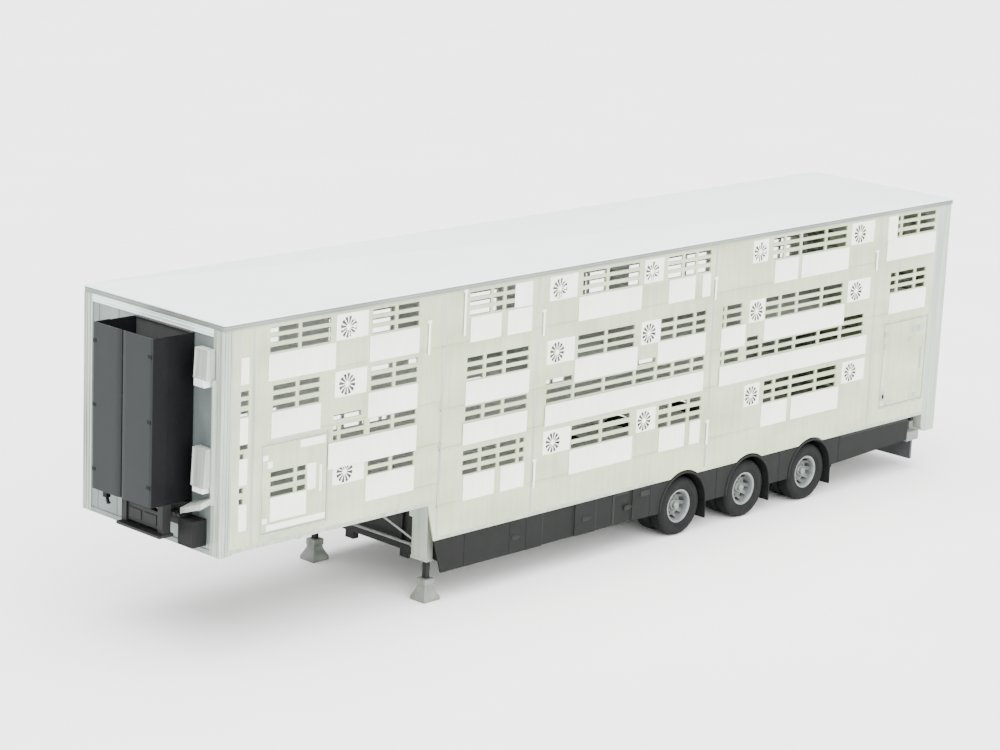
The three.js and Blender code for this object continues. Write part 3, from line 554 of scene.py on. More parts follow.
def sheet_with_openings(ends, heights, openings):
    """A flat sheet in X and Z with rectangular openings. Lengths are behind the bulkhead."""
    bm = bmesh.new()
    middle = Vector((at(sum(ends) / 2), 0, sum(heights) / 2))
    size = Matrix.Diagonal((ends[1] - ends[0], heights[1] - heights[0], 1, 1))
    place = Matrix.Translation(middle) @ Matrix.Rotation(math.pi / 2, 4, "X") @ size
    bmesh.ops.create_grid(bm, x_segments=1, y_segments=1, size=0.5, matrix=place)
    for x in sorted({round(at(edge), 5) for opening in openings for edge in opening[0]}):
        saw(bm, bm.faces[:], (x, 0, 0), (1, 0, 0))
    for z in sorted({round(edge, 5) for opening in openings for edge in opening[1]}):
        saw(bm, bm.faces[:], (0, 0, z), (0, 0, 1))
    inside = []
    for face in bm.faces:
        centre = face.calc_center_median()
        behind = FRONT - centre.x
        for (start, stop), (low, high) in openings:
            if start < behind < stop and low < centre.z < high:
                inside.append(face)
                break
    bmesh.ops.delete(bm, geom=inside, context="FACES")
    return bm


def thicken(bm, thickness, outer, sign):
    """Gives a sheet its thickness, with its outer face at a distance from the middle."""
    bmesh.ops.recalc_face_normals(bm, faces=bm.faces)
    bmesh.ops.solidify(bm, geom=bm.faces[:], thickness=thickness)
    bmesh.ops.recalc_face_normals(bm, faces=bm.faces)
    reach = [v.co.y for v in bm.verts]
    shift = outer - max(reach) if sign > 0 else -outer - min(reach)
    bmesh.ops.translate(bm, verts=bm.verts, vec=(0, shift, 0))


ARCH_CENTRE = 0.42
ARCH_NOTCH = 0.49
ARCH_REACH = 0.9
ARCH_TOP = 1.2
NOTCH_TURNS = range(54, 127, 8)


def notch_arch(bm, x, radius, turns):
    """Cuts a wheel arch out of a sheet, along the tangents of its arc at some turns."""
    centre = Vector((x, 0, ARCH_CENTRE))
    for turn in turns:
        out = Vector((math.cos(math.radians(turn)), 0, math.sin(math.radians(turn))))
        near = [f for f in bm.faces if f.calc_center_median().z < ARCH_TOP
                and any((v.co - centre).length < ARCH_REACH for v in f.verts)]
        saw(bm, near, centre + out * radius, out)
    gone = [f for f in bm.faces if (f.calc_center_median() - centre).length < radius]
    bmesh.ops.delete(bm, geom=gone, context="FACES")


def slant_step(bm):
    """Leans the front edge of the low body, below the gooseneck."""
    heel = Vector((at(STEP_REAR), 0, BODY_FOOT))
    toe = Vector((at(NECK_REAR), 0, NECK_FOOT))
    out = Vector((toe.z - heel.z, 0, heel.x - toe.x))
    saw(bm, bm.faces[:], heel, (1, 0, 0))
    below = [f for f in bm.faces if f.calc_center_median().x > heel.x
             and f.calc_center_median().z < NECK_FOOT]
    saw(bm, below, heel, out)
    gone = [f for f in bm.faces if f.calc_center_median().z < NECK_FOOT
            and (f.calc_center_median() - heel).dot(out) > 0]
    bmesh.ops.delete(bm, geom=gone, context="FACES")


print("cutting tools ready: saw, sheet_with_openings, thicken, notch_arch, slant_step")

# %% [markdown]
# Both walls come from the same cuts. The left one also has the fans' openings and
# the two doorways. The faces that look inwards get a plainer finish, lighter than
# the outside and without its streaks.

# %% The two walls
WALL_ENDS = (0.152, 13.358)

for side, sign in SIDES.items():
    openings = slot_openings() + [((0.0, NECK_REAR), (0.0, NECK_FOOT))]
    if sign > 0:
        half = FAN_OPENING / 2
        openings += [((s - half, s + half), (z - half, z + half)) for _, s, z in fan_places()]
        openings += [(door["ends"], door["heights"]) for door in (FRONT_DOOR, REAR_DOOR)]
    bm = sheet_with_openings(WALL_ENDS, (BODY_FOOT, WALL_TOP), openings)
    slant_step(bm)
    for axle_x in AXLE_X:
        notch_arch(bm, axle_x, ARCH_NOTCH, NOTCH_TURNS)
    thicken(bm, WALL_FACE - WALL_INSIDE, WALL_FACE, sign)
    sheet = piece(f"{side}_wall_sheet", bm, ALUMINIUM, "trailer",
                  [f"{side}_side_wall"], bevel=0)
    sheet.data.materials.append(INNER_ALUMINIUM)
    for polygon in sheet.data.polygons:
        if polygon.normal.y * sign < -0.5:
            polygon.material_index = 1

# %% [markdown]
# ## What is screwed to the walls
# Cover strips hide the joints between the wall's sections. Short guide rails hold
# the shutters' pull rods, and a column of small fixed panels stands beside the
# front post. All of it is thin: a row of shutters has to slide past, so the
# strips stand only a millimetre and a half proud, and the guides stand outside
# the path of the shutters.

# %% Strips, guides and fixed panels
STRIP_PROUD = 0.0015
GUIDE_INNER = 0.012
GUIDE_OUTER = 0.019
SEAMS = [0.47, 3.46, 5.10, 8.47, 12.02]
SEAM_STRIP_HALF = 0.022
FOOT_STRIPS = [((0.16, 3.29), NECK_FOOT + 0.05), ((11.35, 13.35), BODY_FOOT + 0.045),
               ((3.44, 7.56), BODY_FOOT + 0.045)]
GUIDES = [(3.20, 3.20, 3.60), (3.79, 3.35, 3.90), (5.185, 3.15, 3.47), (5.13, 1.20, 1.55),
          (8.47, 3.18, 3.47), (8.47, 1.20, 1.52), (11.97, 3.15, 3.42)]
CORNER_PANEL_ENDS = (0.275, 0.395)
CORNER_PANELS = [(3.27, 3.58), (2.57, 2.88), (2.09, 2.40), (1.55, 1.86)]
FIXED_PANELS = [((4.66, 4.97), (3.575, 3.88)), ((12.20, 12.41), (3.55, 3.89))]

for side, sign in SIDES.items():
    bm = bmesh.new()
    flush = mirrored(sign, WALL_FACE - 0.004, WALL_FACE + STRIP_PROUD)
    for s in SEAMS:
        low = BODY_FOOT if s > STEP_REAR else NECK_FOOT
        run(bm, (s - SEAM_STRIP_HALF, s + SEAM_STRIP_HALF), flush, (low + 0.052, WALL_TOP - 0.01))
    for ends, head in FOOT_STRIPS:
        low = NECK_FOOT if ends[0] < NECK_REAR else BODY_FOOT
        run(bm, ends, flush, (low + 0.004, head))
    piece(f"{side}_wall_strips", bm, PRESSED_ALUMINIUM, "trailer",
          bevel=0.0008, segments=1)
    bm = bmesh.new()
    guide = mirrored(sign, WALL_FACE + GUIDE_INNER, WALL_FACE + GUIDE_OUTER)
    for s, low, high in GUIDES:
        run(bm, (s - 0.017, s + 0.017), guide, (low, high))
        foot = mirrored(sign, WALL_FACE - 0.002, WALL_FACE + GUIDE_OUTER - 0.001)
        run(bm, (s - 0.03, s + 0.03), foot, (high - 0.012, high + 0.02))
    for heights in CORNER_PANELS:
        panel = mirrored(sign, WALL_FACE - 0.002, WALL_FACE + 0.006)
        run(bm, CORNER_PANEL_ENDS, panel, heights)
    for ends, heights in FIXED_PANELS:
        run(bm, ends, flush, heights)
    piece(f"{side}_wall_guides", bm, SHUTTER_PAINT, "trailer", bevel=0.0015)

# %% [markdown]
# ## Shutters
# A shutter is a flat pressed panel that slides up in front of its window, and the
# shutters of a row hang on one rail, so that one pull moves them all. The panel
# starts as a bar. Its outer face gets an inset, and the inner part is pushed in a
# little, which gives the pressed edge and a line of shade all round.

# %% Shutter rows, each riding on its own body
SHUTTERS = {
    "top": [(0.68, 1.70), (2.24, 3.04), (3.90, 4.43), (4.54, 4.97), (5.82, 7.00), (7.53, 8.05),
            (8.20, 8.36), (9.70, 10.20), (10.28, 11.32), (12.20, 13.34)],
    "upper": [(0.74, 1.49), (2.24, 3.04), (3.86, 4.97), (5.80, 6.98), (7.38, 8.33),
              (8.65, 9.15), (9.55, 11.30), (12.34, 13.20)],
    "lower": [(1.62, 3.04), (3.83, 4.95), (5.28, 8.32), (8.65, 11.85)],
    "bottom": [(2.24, 3.03), (3.88, 4.42), (4.53, 4.95), (5.78, 6.97), (7.50, 8.01),
               (8.11, 8.32), (9.60, 10.15), (10.25, 11.30)],
}
SHUTTER_HEIGHTS = {
    "top": ((3.25, 3.56), (3.25, 3.56)), "upper": ((2.57, 2.875), (2.465, 2.76)),
    "lower": ((2.05, 2.365), (1.97, 2.24)), "bottom": ((1.55, 1.86), (1.255, 1.57)),
}
RAIL_HEIGHT = 0.015
RAIL_STEP = 3.45
PRESS_RIM, PRESS_SLOPE, PRESS_DEPTH = 0.014, 0.003, 0.0015


def pressed_panel(bm, ends, ys, heights, sign):
    """A bar whose outer face is pressed in by a millimetre and a half."""
    run(bm, ends, ys, heights)
    bm.faces.ensure_lookup_table()
    outer = [f for f in bm.faces[-6:] if f.normal.y * sign > 0.9]
    press_in(bm, outer, PRESS_RIM, PRESS_SLOPE, PRESS_DEPTH)


for side, sign in SIDES.items():
    for row_name, panels in SHUTTERS.items():
        node = f"{side}_shutters_{row_name}"
        low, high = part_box(node)
        ys = (low.y, high.y)
        neck, body = SHUTTER_HEIGHTS[row_name]
        bm = bmesh.new()
        for ends in panels:
            pressed_panel(bm, ends, ys, neck if ends[0] < NECK_REAR else body, sign)
        piece(f"{node}_panels", bm, SHUTTER_PAINT, node, [node],
              bevel=0.001, segments=1)
        bm = bmesh.new()
        rail = (low.y + 0.001, high.y - 0.0015)
        first, last = panels[0][0], panels[-1][1]
        run(bm, (first + 0.01, RAIL_STEP - 0.001), rail, (neck[0] + 0.001, neck[0] + RAIL_HEIGHT))
        run(bm, (RAIL_STEP - RAIL_HEIGHT, last - 0.01), rail,
            (body[0] + 0.001, body[0] + RAIL_HEIGHT))
        if neck[0] > body[0]:
            run(bm, (RAIL_STEP - RAIL_HEIGHT, RAIL_STEP - 0.001), rail,
                (body[0] + 0.002, neck[0] + RAIL_HEIGHT - 0.001))
        piece(f"{node}_rail", bm, ALUMINIUM, node, bevel=0)

# %% [markdown]
# ## Fans
# Behind each guard a rotor turns. A guard is a disc with a ring of slots: one
# radial line spun through a full turn gives rings of small faces, and deleting
# two of every three faces in the widest ring leaves the slots. The outermost ring
# is pushed out to a square, which meets the pale mounting plate.

# %% Guards with radial slots, and their plates
GUARD_RADII = [0.008, 0.026, 0.036, 0.130, 0.136]
GUARD_SLOTS = 12
SLOT_SHARE = 0.67
GUARD_LAP = 0.008
GUARD_THICK = 0.005
PLATE_THICK = 0.006
PLATE_REACH = {1: (0.19, 0.31), 2: (0.18, 0.32), 3: (0.15, 0.22), 4: (0.15, 0.17),
               5: (0.19, 0.32)}
GUARD_FACE = WALL_FACE + 0.0018
PLATE_FACE = WALL_FACE + 0.0012
PLATE_HEAD = 0.165
PLATE_MARGIN = 0.006


def fan_guard(bm, x, z):
    """Adds a slotted disc with a square rim, in the plane of the wall."""
    verts, line = outline(bm, [(x + r, 0, z) for r in GUARD_RADII])
    bmesh.ops.spin(bm, geom=verts + line, cent=(x, 0, z), axis=(0, 1, 0), angle=2 * math.pi,
                   steps=3 * GUARD_SLOTS, use_merge=True)
    centre = Vector((x, 0, z))
    pitch = 360 / GUARD_SLOTS
    slots = []
    for face in bm.faces:
        out = face.calc_center_median() - centre
        turn = math.degrees(math.atan2(out.z, out.x)) % pitch
        if GUARD_RADII[2] < out.length < GUARD_RADII[3] and turn < SLOT_SHARE * pitch:
            slots.append(face)
    bmesh.ops.delete(bm, geom=slots, context="FACES")
    hub = [e for e in bm.edges if e.is_boundary
           and all((v.co - centre).length < GUARD_RADII[1] for v in e.verts)]
    bmesh.ops.contextual_create(bm, geom=hub)
    half = FAN_OPENING / 2 + GUARD_LAP
    for vert in bm.verts:
        out = vert.co - centre
        if out.length > GUARD_RADII[4] - 0.001:
            vert.co = centre + out * (half / max(abs(out.x), abs(out.z)))
    thicken(bm, GUARD_THICK, GUARD_FACE, 1)


for name, behind, height in fan_places():
    column = int(name[-1])
    forward, backward = PLATE_REACH[column]
    half = FAN_OPENING / 2
    foot = half + PLATE_MARGIN
    head = min(PLATE_HEAD, WALL_TOP - height - 0.03)
    hole = ((behind - half, behind + half), (height - half, height + half))
    bm = sheet_with_openings((behind - forward, behind + backward),
                             (height - foot, height + head), [hole])
    thicken(bm, PLATE_THICK, PLATE_FACE, 1)
    piece(f"{name}_plate", bm, FAN_PLASTIC, "trailer", bevel=0)
    bm = bmesh.new()
    fan_guard(bm, at(behind), height)
    piece(f"{name}_guard", bm, FAN_PLASTIC, "trailer", bevel=0)

# %% [markdown]
# A fan's blade is thin, steep at the root and flatter and wider at the tip. It
# starts as a flat bar that is divided along its length, each cross section is
# turned by its own pitch, and one spin copies the blade round the hub.

# %% Rotors with twisted blades
ROTOR_RADIUS = 0.130
BLADE_ROOT = 0.032
BLADE_HALF = 0.028
BLADE_HALF_THICK = 0.0012
BLADES = 7
ROOT_PITCH, UNTWIST = 0.55, 2.4
ROOT_WIDTH, WIDENING = 0.75, 2.2
DISHING = 0.45
HUB_RADIUS, HUB_HALF = 0.038, 0.0065


def rotor(name, behind, height):
    """A hub with twisted blades, which turns on a fan's own body."""
    low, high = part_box(name)
    centre = Vector((at(behind), (low.y + high.y) / 2, height))
    bm = bmesh.new()
    bar(bm, (BLADE_ROOT, ROTOR_RADIUS), (-BLADE_HALF_THICK, BLADE_HALF_THICK),
        (-BLADE_HALF, BLADE_HALF))
    bmesh.ops.subdivide_edges(bm, edges=[e for e in bm.edges if abs(
        e.verts[0].co.x - e.verts[1].co.x) > 0.01], cuts=4, use_grid_fill=True)
    for vert in bm.verts:
        out = vert.co.x - BLADE_ROOT
        pitch = ROOT_PITCH - UNTWIST * out
        across = vert.co.z * (ROOT_WIDTH + WIDENING * out)
        vert.co.y, vert.co.z = (vert.co.y + across * math.sin(pitch) * DISHING,
                                across * math.cos(pitch))
    bmesh.ops.spin(bm, geom=bm.verts[:] + bm.edges[:] + bm.faces[:], cent=(0, 0, 0),
                   axis=(0, 1, 0), angle=2 * math.pi, steps=BLADES, use_duplicate=True,
                   use_merge=False)
    tidy_shape(bm)
    tube(bm, (0, -HUB_HALF, 0), (0, HUB_HALF, 0), HUB_RADIUS, 24)
    bmesh.ops.translate(bm, verts=bm.verts, vec=centre)
    piece(f"{name}_rotor", bm, ROTOR_PLASTIC, name, [name], bevel=0)


for name, behind, height in fan_places():
    rotor(name, behind, height)

# %% [markdown]
# ## Side doors
# Two doors hang in the left wall. The front one has slotted panes with a fixed
# panel below. A door leaf is the same kind of sheet as the wall, cut by the same
# functions, and a thin frame on the wall goes round it, so that the gap shows.
# Small plates, hinge knuckles and a latch bar are screwed to each leaf.

# %% Door leaves, frames, hinges and latch bars
DOOR_GAP = 0.006
DOOR_THICK = 0.018
FRONT_PANES = [(0.75, 1.105), (1.155, 1.29)]
FRONT_PANE_HEIGHTS = [2.14, 2.03, 1.905]
FRONT_PLATES = [((1.31, 1.445), (1.86, 2.175)), ((1.20, 1.585), (2.39, 2.48)),
                ((0.70, 1.60), (1.475, 1.545)), ((0.70, 0.775), (2.22, 2.30))]
REAR_PLATES = [((12.34, 12.40), (1.19, 1.33)), ((12.43, 12.58), (1.115, 1.165)),
               ((13.0, 13.2), (1.13, 1.20)), ((12.95, 13.25), (2.12, 2.21)),
               ((12.31, 12.37), (1.94, 2.03)), ((12.86, 12.94), (1.98, 2.05))]


def door_leaf(door, openings):
    """A door's sheet, with a gap all round."""
    ends = (door["ends"][0] + DOOR_GAP, door["ends"][1] - DOOR_GAP)
    heights = (door["heights"][0] + DOOR_GAP, door["heights"][1] - DOOR_GAP)
    bm = sheet_with_openings(ends, heights, openings)
    thicken(bm, DOOR_THICK, WALL_FACE, 1)
    return bm


def door_fittings(bm, door):
    """The hinge knuckles at the front edge and the latch bar near the rear edge."""
    start, stop = door["ends"]
    foot, head = door["heights"]
    skin = WALL_FACE - 0.001
    for z in (foot + 0.12, head - 0.18):
        run(bm, (start + 0.012, start + 0.088), (skin, WALL_FACE + 0.005), (z, z + 0.06))
        tube(bm, (at(start + 0.012), WALL_FACE + 0.006, z - 0.004),
             (at(start + 0.012), WALL_FACE + 0.006, z + 0.064), 0.0075, 12)
    middle = (foot + head) / 2
    run(bm, (stop - 0.118, stop - 0.082), (skin, WALL_FACE + 0.006),
        (middle - 0.158, middle + 0.158))
    tube(bm, (at(stop - 0.1), WALL_FACE + 0.010, middle - 0.15),
         (at(stop - 0.1), WALL_FACE + 0.010, middle + 0.15), 0.008, 12)


def door_plates(bm, plates):
    """Thin plates on a door, each given by its ends and its heights."""
    for ends, heights in plates:
        run(bm, ends, (WALL_FACE - 0.001, WALL_FACE + 0.005), heights)


panes = [(ends, (z - SLOT / 2, z + SLOT / 2)) for ends in FRONT_PANES
         for z in FRONT_PANE_HEIGHTS]
bm = door_leaf(FRONT_DOOR, panes)
piece("front_door_leaf", bm, ALUMINIUM, "side_door_front",
      ["side_door_front"], bevel=0)
bm = door_leaf(REAR_DOOR, [])
piece("rear_door_leaf", bm, ALUMINIUM, "side_door_rear",
      ["side_door_rear"], bevel=0)
bm = bmesh.new()
door_fittings(bm, FRONT_DOOR)
pressed_panel(bm, (0.75, 1.30), (WALL_FACE - 0.001, WALL_FACE + 0.008), (1.58, 1.862), 1)
door_plates(bm, FRONT_PLATES)
piece("front_door_fittings", bm, SHUTTER_PAINT, "side_door_front",
      bevel=0.0015)
bm = bmesh.new()
door_fittings(bm, REAR_DOOR)
door_plates(bm, REAR_PLATES)
piece("rear_door_fittings", bm, PRESSED_ALUMINIUM, "side_door_rear",
      bevel=0.0015)

bm = bmesh.new()
frame_face = (WALL_FACE - 0.004, WALL_FACE + STRIP_PROUD)
width = 0.03
for door in (FRONT_DOOR, REAR_DOOR):
    (start, stop), (foot, head) = door["ends"], door["heights"]
    run(bm, (start - width, start), frame_face, (foot - width, head + width))
    run(bm, (stop, stop + width), frame_face, (foot - width, head + width))
    run(bm, (start + 0.001, stop - 0.001), frame_face, (head, head + width))
    run(bm, (start + 0.001, stop - 0.001), frame_face, (foot - width, foot))
piece("door_frames", bm, PRESSED_ALUMINIUM, "trailer", bevel=0.0006,
      segments=1)

# %% [markdown]
# ## The nose
# Two corner posts of ribbed extrusion hold the bulkhead sheet between them. On the
# left, two pale lamp boxes and a sloping cable ledge sit beside the power unit.

# %% Bulkhead, corner posts and lamp boxes
POST_Y = (1.09, 1.262)
POST_DEPTH = 0.15

bm = bmesh.new()
run(bm, (0.012, 0.03), (-1.10, 1.10), (1.30, 3.915))
run(bm, (0.0, 0.08), (-1.095, 1.095), (1.285, 1.345))
for y in (-0.98, -0.62, 1.075):
    run(bm, (0.006, 0.014), (y - 0.014, y + 0.014), (1.345, 3.835))
# The bulkhead sheet's darkness is painted shade, set in its finish.
piece("bulkhead_sheet", bm, SHADED_NOSE_ALUMINIUM, "trailer", ["front_bulkhead"])

bm = bmesh.new()
for near, heights in ((0.0, (3.905, 3.9195)), (0.010, (3.885, 3.906)), (0.0, (3.862, 3.886)),
                      (0.010, (3.846, 3.863)), (0.0, (3.832, 3.847))):
    run(bm, (near, 0.06), (-1.095, 1.095), heights)
piece("bulkhead_head_beam", bm, ROOF_SHEET, "trailer", bevel=0.003)

bm = bmesh.new()
for sign in SIDES.values():
    run(bm, (0.008, POST_DEPTH), mirrored(sign, POST_Y[0], POST_Y[1] - 0.008), (1.28, 3.9195))
    for inner, outer in ((1.09, 1.112), (1.135, 1.165), (1.19, 1.205)):
        run(bm, (0.0, 0.02), mirrored(sign, inner, outer), (1.284, 3.916))
    for near, far in ((0.035, 0.06), (0.085, 0.10), (0.122, 0.15)):
        run(bm, (near, far), mirrored(sign, 1.24, POST_Y[1]), (1.284, 3.916))
corners = [vert for sign in SIDES.values()
           for vert in bar(bm, (at(0.03), at(0.0)), mirrored(sign, 1.225, POST_Y[1]),
                           (1.282, 3.918))]
upright = {edge for vert in corners for edge in vert.link_edges
           if abs(edge.verts[0].co.z - edge.verts[1].co.z) > 1
           and edge.verts[0].co.x > FRONT - 0.01 and abs(edge.verts[0].co.y) > 1.26}
bmesh.ops.bevel(bm, geom=list(upright), offset=0.024, segments=6, profile=0.5,
                affect="EDGES", material=-1)
piece("corner_posts", bm, PRESSED_ALUMINIUM, "trailer", bevel=0.003)

bm = bmesh.new()
for foot, head, ahead in ((3.35, 3.70, 0.13), (2.10, 2.55, 0.14)):
    verts = bar(bm, (FRONT + 0.001, FRONT + ahead), (0.90, 1.13), (foot, head))
    for vert in verts:
        if vert.co.x > FRONT + 0.05 and vert.co.z > head - 0.01:
            vert.co.x -= 0.02
    face = [f for f in bm.faces if f.calc_center_median().x > FRONT + ahead - 0.02
            and foot < f.calc_center_median().z < head]
    press_in(bm, face, 0.018, 0.004, 0.006)
piece("lamp_boxes", bm, PRESSED_ALUMINIUM, "trailer", bevel=0.006)
bm = bmesh.new()
for foot, ahead in ((3.262, 0.135), (2.03, 0.13)):
    run(bm, (-ahead, -0.001), (0.915, 1.10), (foot, foot + 0.09))
piece("nose_lamp_lenses", bm, LAMP_CLEAR, "trailer", bevel=0.01, segments=3)

bm = bmesh.new()
ledge = run(bm, (-0.20, -0.001), (0.80, 1.16), (1.80, 1.87))
for vert in ledge:
    vert.co.z += 0.35 * (vert.co.y - 0.80) + 0.25 * (at(0.0) - vert.co.x)
run(bm, (-0.05, -0.001), (1.135, 1.165), (1.90, 3.35))
piece("cable_ledge", bm, PRESSED_ALUMINIUM, "trailer", bevel=0.004)

# %% [markdown]
# ## Power unit
# A tall hollow casing, open at the top, hangs on the bulkhead. Each side is made of
# two sheets one behind the other, and the front one stands a little proud, which
# is the seam a hand's width behind the doors. Plain bars are enough for it, since
# a live bevel rounds them.

# %% Casing, with its open top and a grey back
UNIT_LOW, UNIT_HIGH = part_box("power_unit_housing")
UNIT_FOOT = 1.87
UNIT_SEAM = UNIT_HIGH.x - 0.21
SHEET = 0.012

bm = bmesh.new()
left, right_face = UNIT_HIGH.y - 0.01, UNIT_LOW.y
head = UNIT_HIGH.z
for ys in ((left - SHEET - 0.008, left - 0.008), (right_face + 0.008, right_face + 0.02)):
    bar(bm, (UNIT_LOW.x, UNIT_SEAM + 0.02), ys, (UNIT_FOOT, head - 0.004))
for ys in ((left - SHEET, left), (right_face, right_face + SHEET)):
    bar(bm, (UNIT_SEAM, UNIT_HIGH.x), ys, (UNIT_FOOT, head))
bar(bm, (UNIT_LOW.x, UNIT_HIGH.x), (right_face + 0.002, left - 0.002),
    (UNIT_FOOT + 0.001, UNIT_FOOT + SHEET))
piece("unit_casing", bm, UNIT_BLACK, "trailer", ["power_unit_housing"],
      bevel=0.004, segments=3)

# The back wall and its top lip carry painted light: their lining is lighter than the doors' grey,
# against the shade inside the casing.
bm = bmesh.new()
bar(bm, (UNIT_LOW.x, UNIT_LOW.x + SHEET), (right_face + SHEET, left - SHEET),
    (UNIT_FOOT + SHEET, head - 0.002))
bar(bm, (UNIT_LOW.x, UNIT_LOW.x + 0.03), (right_face + SHEET, left - SHEET),
    (head - 0.016, head - 0.001))
piece("unit_back", bm, LIT_UNIT_LINING, "trailer", bevel=0.003)

# %% [markdown]
# Inside stand a fuel tank, an engine block and a pump. They only show through the
# open top and when the doors are open, so a few rounded bars and cylinders do.

# %% What is inside the casing
bm = bmesh.new()
bar(bm, (6.62, 7.05), (-0.22, 0.28), (1.90, 2.62))
tube(bm, (6.83, 0.52, 1.90), (6.83, 0.52, 2.9), 0.17, 32)
bar(bm, (6.60, 7.06), (-0.24, 0.70), (2.98, 3.02))
bar(bm, (6.66, 7.0), (-0.16, 0.30), (3.02, 3.42))
tube(bm, (6.83, 0.05, 3.42), (6.83, 0.05, 3.60), 0.11, 24)
piece("unit_engine", bm, BLACK_PAINT, "trailer", bevel=0.012, segments=3)

# %% [markdown]
# The two doors' front faces curve away towards the seam between them. Each door is
# a bar that is divided across, and its front vertices are pushed back along a
# quarter circle, which gives the soft seam better than a bevel of one radius.

# %% Doors with a soft seam between them
SEAM_WIDTH = 0.085
SEAM_DEPTH = 0.024
OUTER_WIDTH = 0.025
OUTER_DEPTH = 0.006
UNIT_HINGE_HEIGHTS = (2.11, 2.87, 3.62)


def unit_door(name, seam_side):
    """One door of the power unit, with its hinges. Its seam is on the +Y or the -Y side."""
    low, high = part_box(name)
    bm = bmesh.new()
    bar(bm, (low.x, high.x - 0.004), (low.y, high.y), (low.z + 0.004, high.z))
    across = [e for e in bm.edges if abs(e.verts[0].co.y - e.verts[1].co.y) > 0.1]
    bmesh.ops.subdivide_edges(bm, edges=across, cuts=40, use_grid_fill=True)
    seam = high.y if seam_side > 0 else low.y
    outer = low.y if seam_side > 0 else high.y
    for vert in bm.verts:
        if vert.co.x > high.x - 0.01:
            for edge, width, depth in ((seam, SEAM_WIDTH, SEAM_DEPTH),
                                       (outer, OUTER_WIDTH, OUTER_DEPTH)):
                share = max(0.0, 1 - abs(vert.co.y - edge) / width)
                vert.co.x -= depth * (1 - math.sqrt(1 - share * share))
    piece(f"{name}_leaf", bm, UNIT_GREY, name, [name], bevel=0.002)
    bm = bmesh.new()
    inward = math.copysign(1, seam - outer)
    for z in UNIT_HINGE_HEIGHTS:
        ys = (outer + inward * 0.006, outer + inward * 0.066)
        bar(bm, (high.x - 0.012, high.x - 0.0005), ys, (z - 0.02, z + 0.02))
        tube(bm, (high.x - 0.01, ys[0], z - 0.026), (high.x - 0.01, ys[0], z + 0.026),
             0.0065, 12)
    piece(f"{name}_hinges", bm, UNIT_BLACK, name, bevel=0.002)


unit_door("power_unit_door_right", 1)
unit_door("power_unit_door_left", -1)

# %% [markdown]
# ## Under the power unit
# A folding step hangs from the casing, with a hook beside it. The socket box and
# the hose couplings are on the left, where the truck's hoses reach. All of it is
# bars and short tubes, and the socket box has a lid pressed in at the front.

# %% Step, hook, socket box
bm = bmesh.new()
for ys in ((0.02, 0.11), (0.67, 0.76)):
    bar(bm, (FRONT + 0.30, FRONT + 0.42), ys, (1.50, UNIT_FOOT))
bar(bm, (FRONT + 0.31, FRONT + 0.40), (0.10, 0.68), (1.56, 1.77))
bar(bm, (FRONT + 0.27, FRONT + 0.48), (0.0, 0.78), (1.49, 1.525))
for ys in ((0.15, 0.36), (0.42, 0.63)):
    bar(bm, (FRONT + 0.385, FRONT + 0.408), ys, (1.60, 1.72))
for depth in (0.30, 0.335, 0.37, 0.405, 0.44):
    bar(bm, (FRONT + depth, FRONT + depth + 0.012), (0.02, 0.76), (1.524, 1.531))
piece("unit_step", bm, BLACK_PAINT, "trailer", bevel=0.005)
bm = bmesh.new()
bar(bm, (FRONT + 0.47, FRONT + 0.53), (-0.185, -0.115), (1.775, 1.872))
hook = bar(bm, (FRONT + 0.485, FRONT + 0.515), (-0.165, -0.135), (1.70, 1.80))
for vert in hook:
    if vert.co.z < 1.75:
        vert.co.y += 0.03
tube(bm, (FRONT + 0.50, -0.135, 1.715), (FRONT + 0.50, -0.09, 1.72), 0.014, 12)
piece("unit_hook", bm, UNIT_BLACK, "trailer", bevel=0.003)

box_low, box_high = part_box("socket_box")
bm = bmesh.new()
bar(bm, (box_low.x, box_high.x), (box_low.y, box_high.y), (box_low.z, box_high.z))
front_face = [f for f in bm.faces if f.normal.x > 0.9]
press_in(bm, front_face, 0.014, 0.003, 0.003)
piece("socket_box_case", bm, GREY_MOULDING, "trailer", ["socket_box"],
      bevel=0.008, segments=3)
bm = bmesh.new()
bar(bm, (FRONT + 0.001, FRONT + 0.10), (0.50, 0.77), (1.62, 1.86))
for y in (0.56, 0.635, 0.71):
    tube(bm, (FRONT + 0.10, y, 1.72), (FRONT + 0.155, y, 1.70), 0.026, 20)
bar(bm, (FRONT + 0.001, FRONT + 0.07), (0.42, 0.80), (1.55, 1.62))
piece("hose_couplings", bm, BLACK_PAINT, "trailer", bevel=0.005)

# %% [markdown]
# ## Landing legs
# Pale square housings, a crank shaft between them, and thin braces back to the frame.
# A housing is a bar whose foot gets an inset that is moved up, which leaves the bore
# that the inner tube slides in.

# %% Leg housings, shaft and braces
LEG_LOW, LEG_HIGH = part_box("left_leg")
LEG_X = (LEG_LOW.x + LEG_HIGH.x) / 2
LEG_Y = (LEG_LOW.y + LEG_HIGH.y) / 2
HOUSING = (0.50, 1.296)
HOUSING_Y = (0.80, 1.071)
HOUSING_WALL = 0.016
BORE_DEPTH = 0.4
SHAFT_HEIGHT = 0.64

